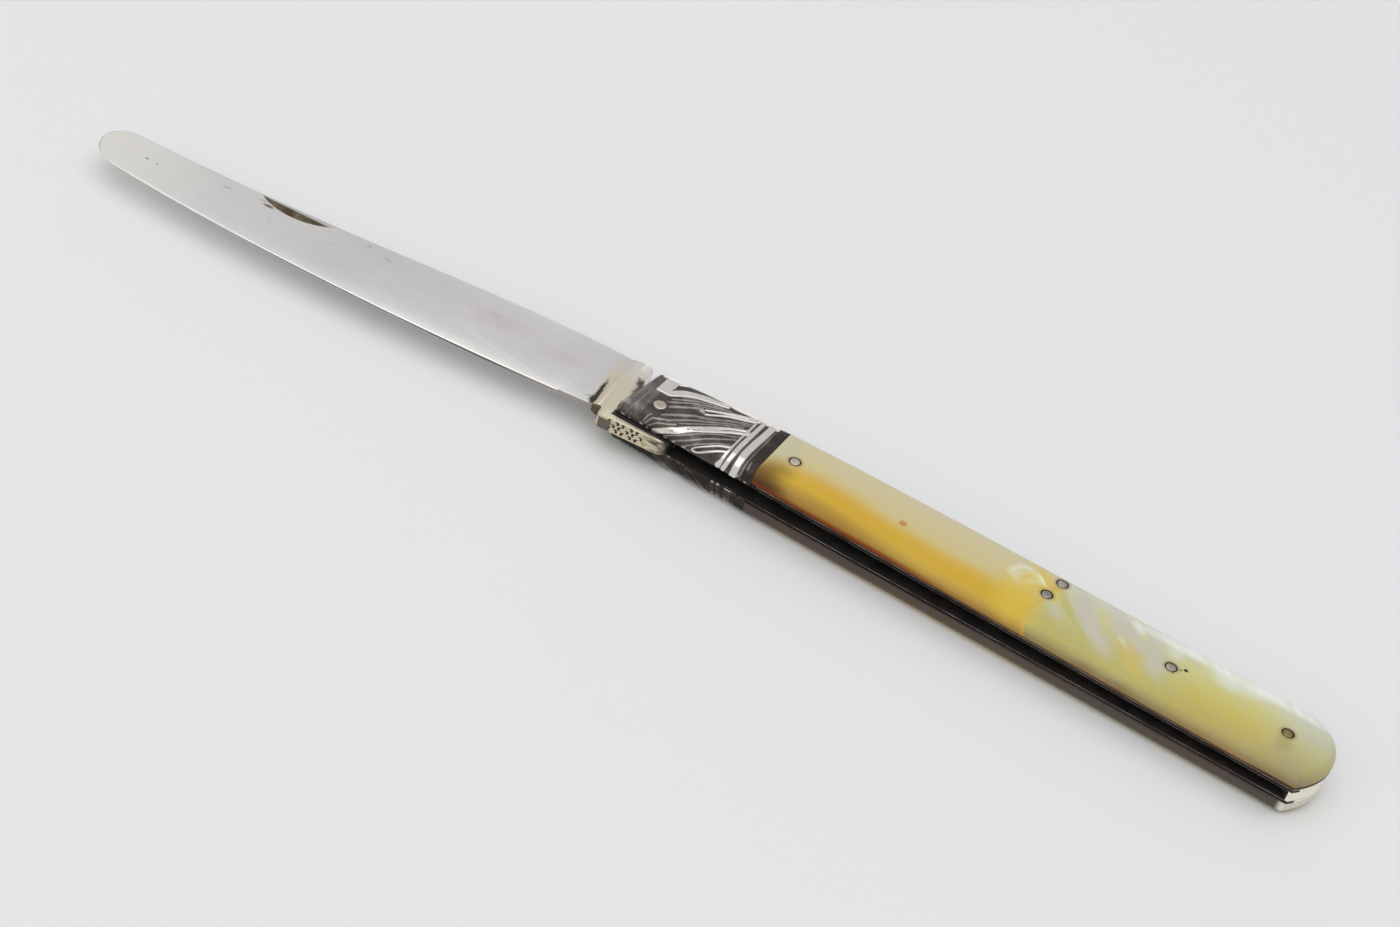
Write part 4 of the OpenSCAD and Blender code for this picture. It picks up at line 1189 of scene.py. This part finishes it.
# painted shade where the tang goes in under the bolster, and a black line along it, painted as the bolster
# wall's shadow and dark reflection
nose_shade = times(tree, span(tree, ragged_along, -4.9, -4.1, smooth=True),
                span(tree, across, -2.0, -1.2, 0.0, 0.9, smooth=True))
edge_shadow_line = times(tree, span(tree, across, -2.9, -2.7, smooth=True),
                   span(tree, along, -4.75, -4.5, smooth=True))
on_top = span(tree, up, 0.5, 0.8)
stain_and_shade = maths(tree, "MAXIMUM", stain_and_shade, times(tree, maths(tree, "MAXIMUM", nose_shade, edge_shadow_line), on_top))
print(len(marks), "stains")

# %% [markdown]
# The underside of the tang is warm in tone, brown by the kick, and lost in scratches towards the slot,
# where it is painted dark as shade. A small pattern of curls was punched along it on the real knife,
# and the mesh below says through an attribute how deep each point lies, so that the hollows turn black.

# %% Underside of the tang
under = times(tree, span(tree, across, -2.4, -2.8), span(tree, up, 0.93, 0.86),
              span(tree, along, -6.4, -6.1))
colour = paint(tree, colour, srgb(226, 212, 182), under)
kick_brown = times(tree, spot_mask(tree, ragged, -4.95, -3.6, 0.95, 0.9, 0, 0.5),
                   span(tree, up, 0.75, 0.45, smooth=True), span(tree, along, -5.75, -5.6), 0.85)
# painted shade: from 1.9 mm past the pivot the tang darkens to black, where it goes into the slot
fading = span(tree, ragged_along, 1.9, 3.3, smooth=True)
streaks = noise(tree, vectors(tree, "MULTIPLY", local, (0.5, 3.0, 7.0)), 1.0, 3.0)["Fac"]
scored = times(tree, span(tree, streaks, 0.42, 0.6, smooth=True),
               span(tree, along, 0.0, 1.8, 0.3, 0.9, smooth=True))
# this mask joins the brown by the kick, the scratches, and the painted shade towards the slot
shade = maths(tree, "MAXIMUM", kick_brown, maths(tree, "MAXIMUM", fading, scored))
punched = node(tree, "ShaderNodeAttribute", attribute_name="punch").outputs["Fac"]
for mask in (times(tree, shade, under), times(tree, fading, span(tree, across, 0.0, -1.0)), punched):
    stain_and_shade = maths(tree, "MAXIMUM", stain_and_shade, mask)
colour = paint(tree, colour, srgb(36, 30, 26), stain_and_shade)
metallic = times(tree, span(tree, cream, 0, 1, 1.0, 0.7), span(tree, along, -48.0, -76.0, 1.0, 0.72),
                 span(tree, stain_and_shade, 0.2, 0.9, 1.0, 0.3))
rough = maths(tree, "MULTIPLY_ADD", stain_and_shade, 0.3, span(tree, lines["Mask"], 0.0, 1.0, 0.16, 0.27))
fill(tree, shader, Base_Color=colour, Metallic=metallic, Roughness=rough,
     Normal=bumped(tree, lines["Height"], 0.25, 3e-6))
print("blade metal has", len(tree.nodes), "nodes")

# %% [markdown]
# The nail nick is the small half-moon cut in which a thumbnail opens the knife. No cloth reaches
# into it, so it is dark with grime and shows the cutter's marks, but it runs out towards the back of
# the blade, where it was polished with the face.

# %% Nail nick
# the line on which the cut runs out: its slant, and how far across it is at the pivot
NICK_SLOPE, NICK_RISE = 0.073, 7.25
nick_grime, tree, shader = new_material("nick_grime", Metallic=0.7, Roughness=0.4)
lines = use_group(tree, scratches, Along=5200.0, Across=700.0, Strength=1.0)
cloud = use_group(tree, clouds, Scale=800.0, Low=0.3, High=0.7)["Mask"]
tone = blend_colour(tree, cloud, srgb(84, 70, 50), srgb(132, 118, 94))
tone = paint(tree, tone, srgb(52, 42, 28), lines["Mask"], 0.45)
along, across, _ = from_pin(tree)[1]
strip = maths(tree, "SUBTRACT", across, maths(tree, "MULTIPLY_ADD", along, NICK_SLOPE, NICK_RISE))
tone = paint(tree, tone, srgb(204, 199, 194), span(tree, strip, -0.15, 0.1, smooth=True),
             span(tree, along, -20.0, -30.0))
fill(tree, shader, Base_Color=tone)
edge_tarnish = worn_metal("edge_tarnish", srgb(170, 164, 156), srgb(120, 113, 105), (0.25, 0.4), 300.0)
print("blade metals:", bright_blade.name, nick_grime.name, edge_tarnish.name)

# %% [markdown]
# Every sharp edge of the blade gets a narrow bevel, because a polished edge is never truly sharp and
# shows as a bright thread of light. The lower side of the tang is then cut into a fine grid and
# pressed in where the punch went, and at last each face is told which metal it shows.


# %% Curls of the punch
def curls(x, z):
    """How deep the punch went, from 0 to 1: three staggered rows of small crescents."""
    pitch, row_gap = 0.92, 0.58
    row = np.round(z / row_gap)
    across = z - row * row_gap
    shifted = x + 0.5 * pitch * (row % 2)
    cell = np.round(shifted / pitch)
    along = shifted - cell * pitch
    bite = np.where((cell + row) % 2 == 0, -0.21, 0.21)
    body = np.clip((0.34 - np.hypot(along, across)) / 0.06, 0, 1)
    hollow = np.clip((np.hypot(along - bite, across + 0.08) - 0.17) / 0.06, 0, 1)
    within = np.clip((x + 4.7) / 0.5, 0, 1) * np.clip((0.9 - x) / 0.8, 0, 1)
    return body * hollow * within


reach = np.linspace(-4.7, 0.9, 200)
print("the curls are punched", float(curls(reach, 0 * reach).max()), "of the full depth")

# %% Blade
bm = copy_of_node("blade")
blade_edges = [e for e in sharp_edges(bm, 0.7, shortest=0.25) if all(
    v.co.z > PIVOT.z - 0.3 * MM and v.co.x < PIVOT.x - 10 * MM and v.co.y < PIVOT.y + 1.2 * MM
    for v in e.verts)]
soften(bm, blade_edges, 0.15, segments=3, clamp=True)
soften(bm, sharp_edges(bm, 0.7, shortest=0.25), 0.07, segments=3, clamp=True)
print("blade has", len(bm.faces), "faces")

# %% Punching the tang
GRID, PUNCH_DEPTH = 0.05, 0.09
punch_layer = bm.verts.layers.float.new("punch")
under = max((f for f in bm.faces if f.normal.y < -0.95 and f.calc_center_median().x > PIVOT.x - 5.6 * MM),
            key=lambda f: f.calc_area())
corners = np.array([v.co for v in under.verts])
low, high, step = corners.min(0), corners.max(0), GRID * MM
region, normal = [under], under.normal.copy()
for axis in (0, 2):
    for cut in np.arange(low[axis] + step, high[axis] - step / 2, step):
        point = Vector(low)
        point[axis] = cut
        edges = list({e for f in region for e in f.edges})
        verts = list({v for f in region for v in f.verts})
        bmesh.ops.bisect_plane(bm, geom=region + edges + verts, plane_co=point,
                               plane_no=(1, 0, 0) if axis == 0 else (0, 0, 1))
        bm.normal_update()
        region = [f for f in bm.faces if f.normal.dot(normal) > 0.9999
                  and abs((f.calc_center_median() - under.calc_center_median()).dot(normal)) < 1e-6]
for v in {v for f in region for v in f.verts}:
    x, z = (v.co.x - PIVOT.x) / MM, (v.co.z - PIVOT.z) / MM
    rim_gap = min(v.co.x - low[0], high[0] - v.co.x, v.co.z - low[2], high[2] - v.co.z) / MM
    deep = float(curls(x, z)) * min(1.0, max(0.0, (rim_gap - 0.06) / 0.1))
    v.co -= normal * deep * PUNCH_DEPTH * MM
    v[punch_layer] = deep
print("punched", len(region), "faces under the tang")

# %% Metals of the blade
BLADE_METALS = [bright_blade, nick_grime, edge_tarnish]
GRIME, TARNISH = 1, 2
NICK_X, NICK_Y, NICK_AREA = (-59.9, -48.5), (1.6, 4.4), 2e-5
KICK_X, KICK_TOP, HEEL, TIP = (-8.7, -6.1), -1.2, -8.5, -74
for face in bm.faces:
    c, normal = (face.calc_center_median() - PIVOT) / MM, face.normal
    upright = abs(normal.z) < 0.2
    in_nick = (NICK_X[0] < c.x < NICK_X[1] and NICK_Y[0] < c.y < NICK_Y[1] and c.z > 0.05
               and face.calc_area() < NICK_AREA and normal.z < 0.9995)
    before_kick = upright and KICK_X[0] < c.x < KICK_X[1] and c.y < KICK_TOP
    tip_bevel = c.x < TIP and 0.2 < normal.z < 0.97 and normal.y * 0.5 - normal.x > 0.1
    if in_nick or before_kick:
        face.material_index = GRIME
    elif upright and c.x < HEEL or tip_bevel:
        face.material_index = TARNISH
blade = finish_piece(bm, "blade_polished", "blade", BLADE_METALS, "blade", sharp=30,
                     merge=1e-7)
# the nail nick meets the face at so low an angle that smoothing would blur it
metals_at = {}
for polygon in blade.data.polygons:
    for key in polygon.edge_keys:
        metals_at.setdefault(key, set()).add(polygon.material_index)
for edge in blade.data.edges:
    if len(metals_at[edge.key]) > 1:
        edge.use_edge_sharp = True

print("edges kept sharp:", sum(edge.use_edge_sharp for edge in blade.data.edges))
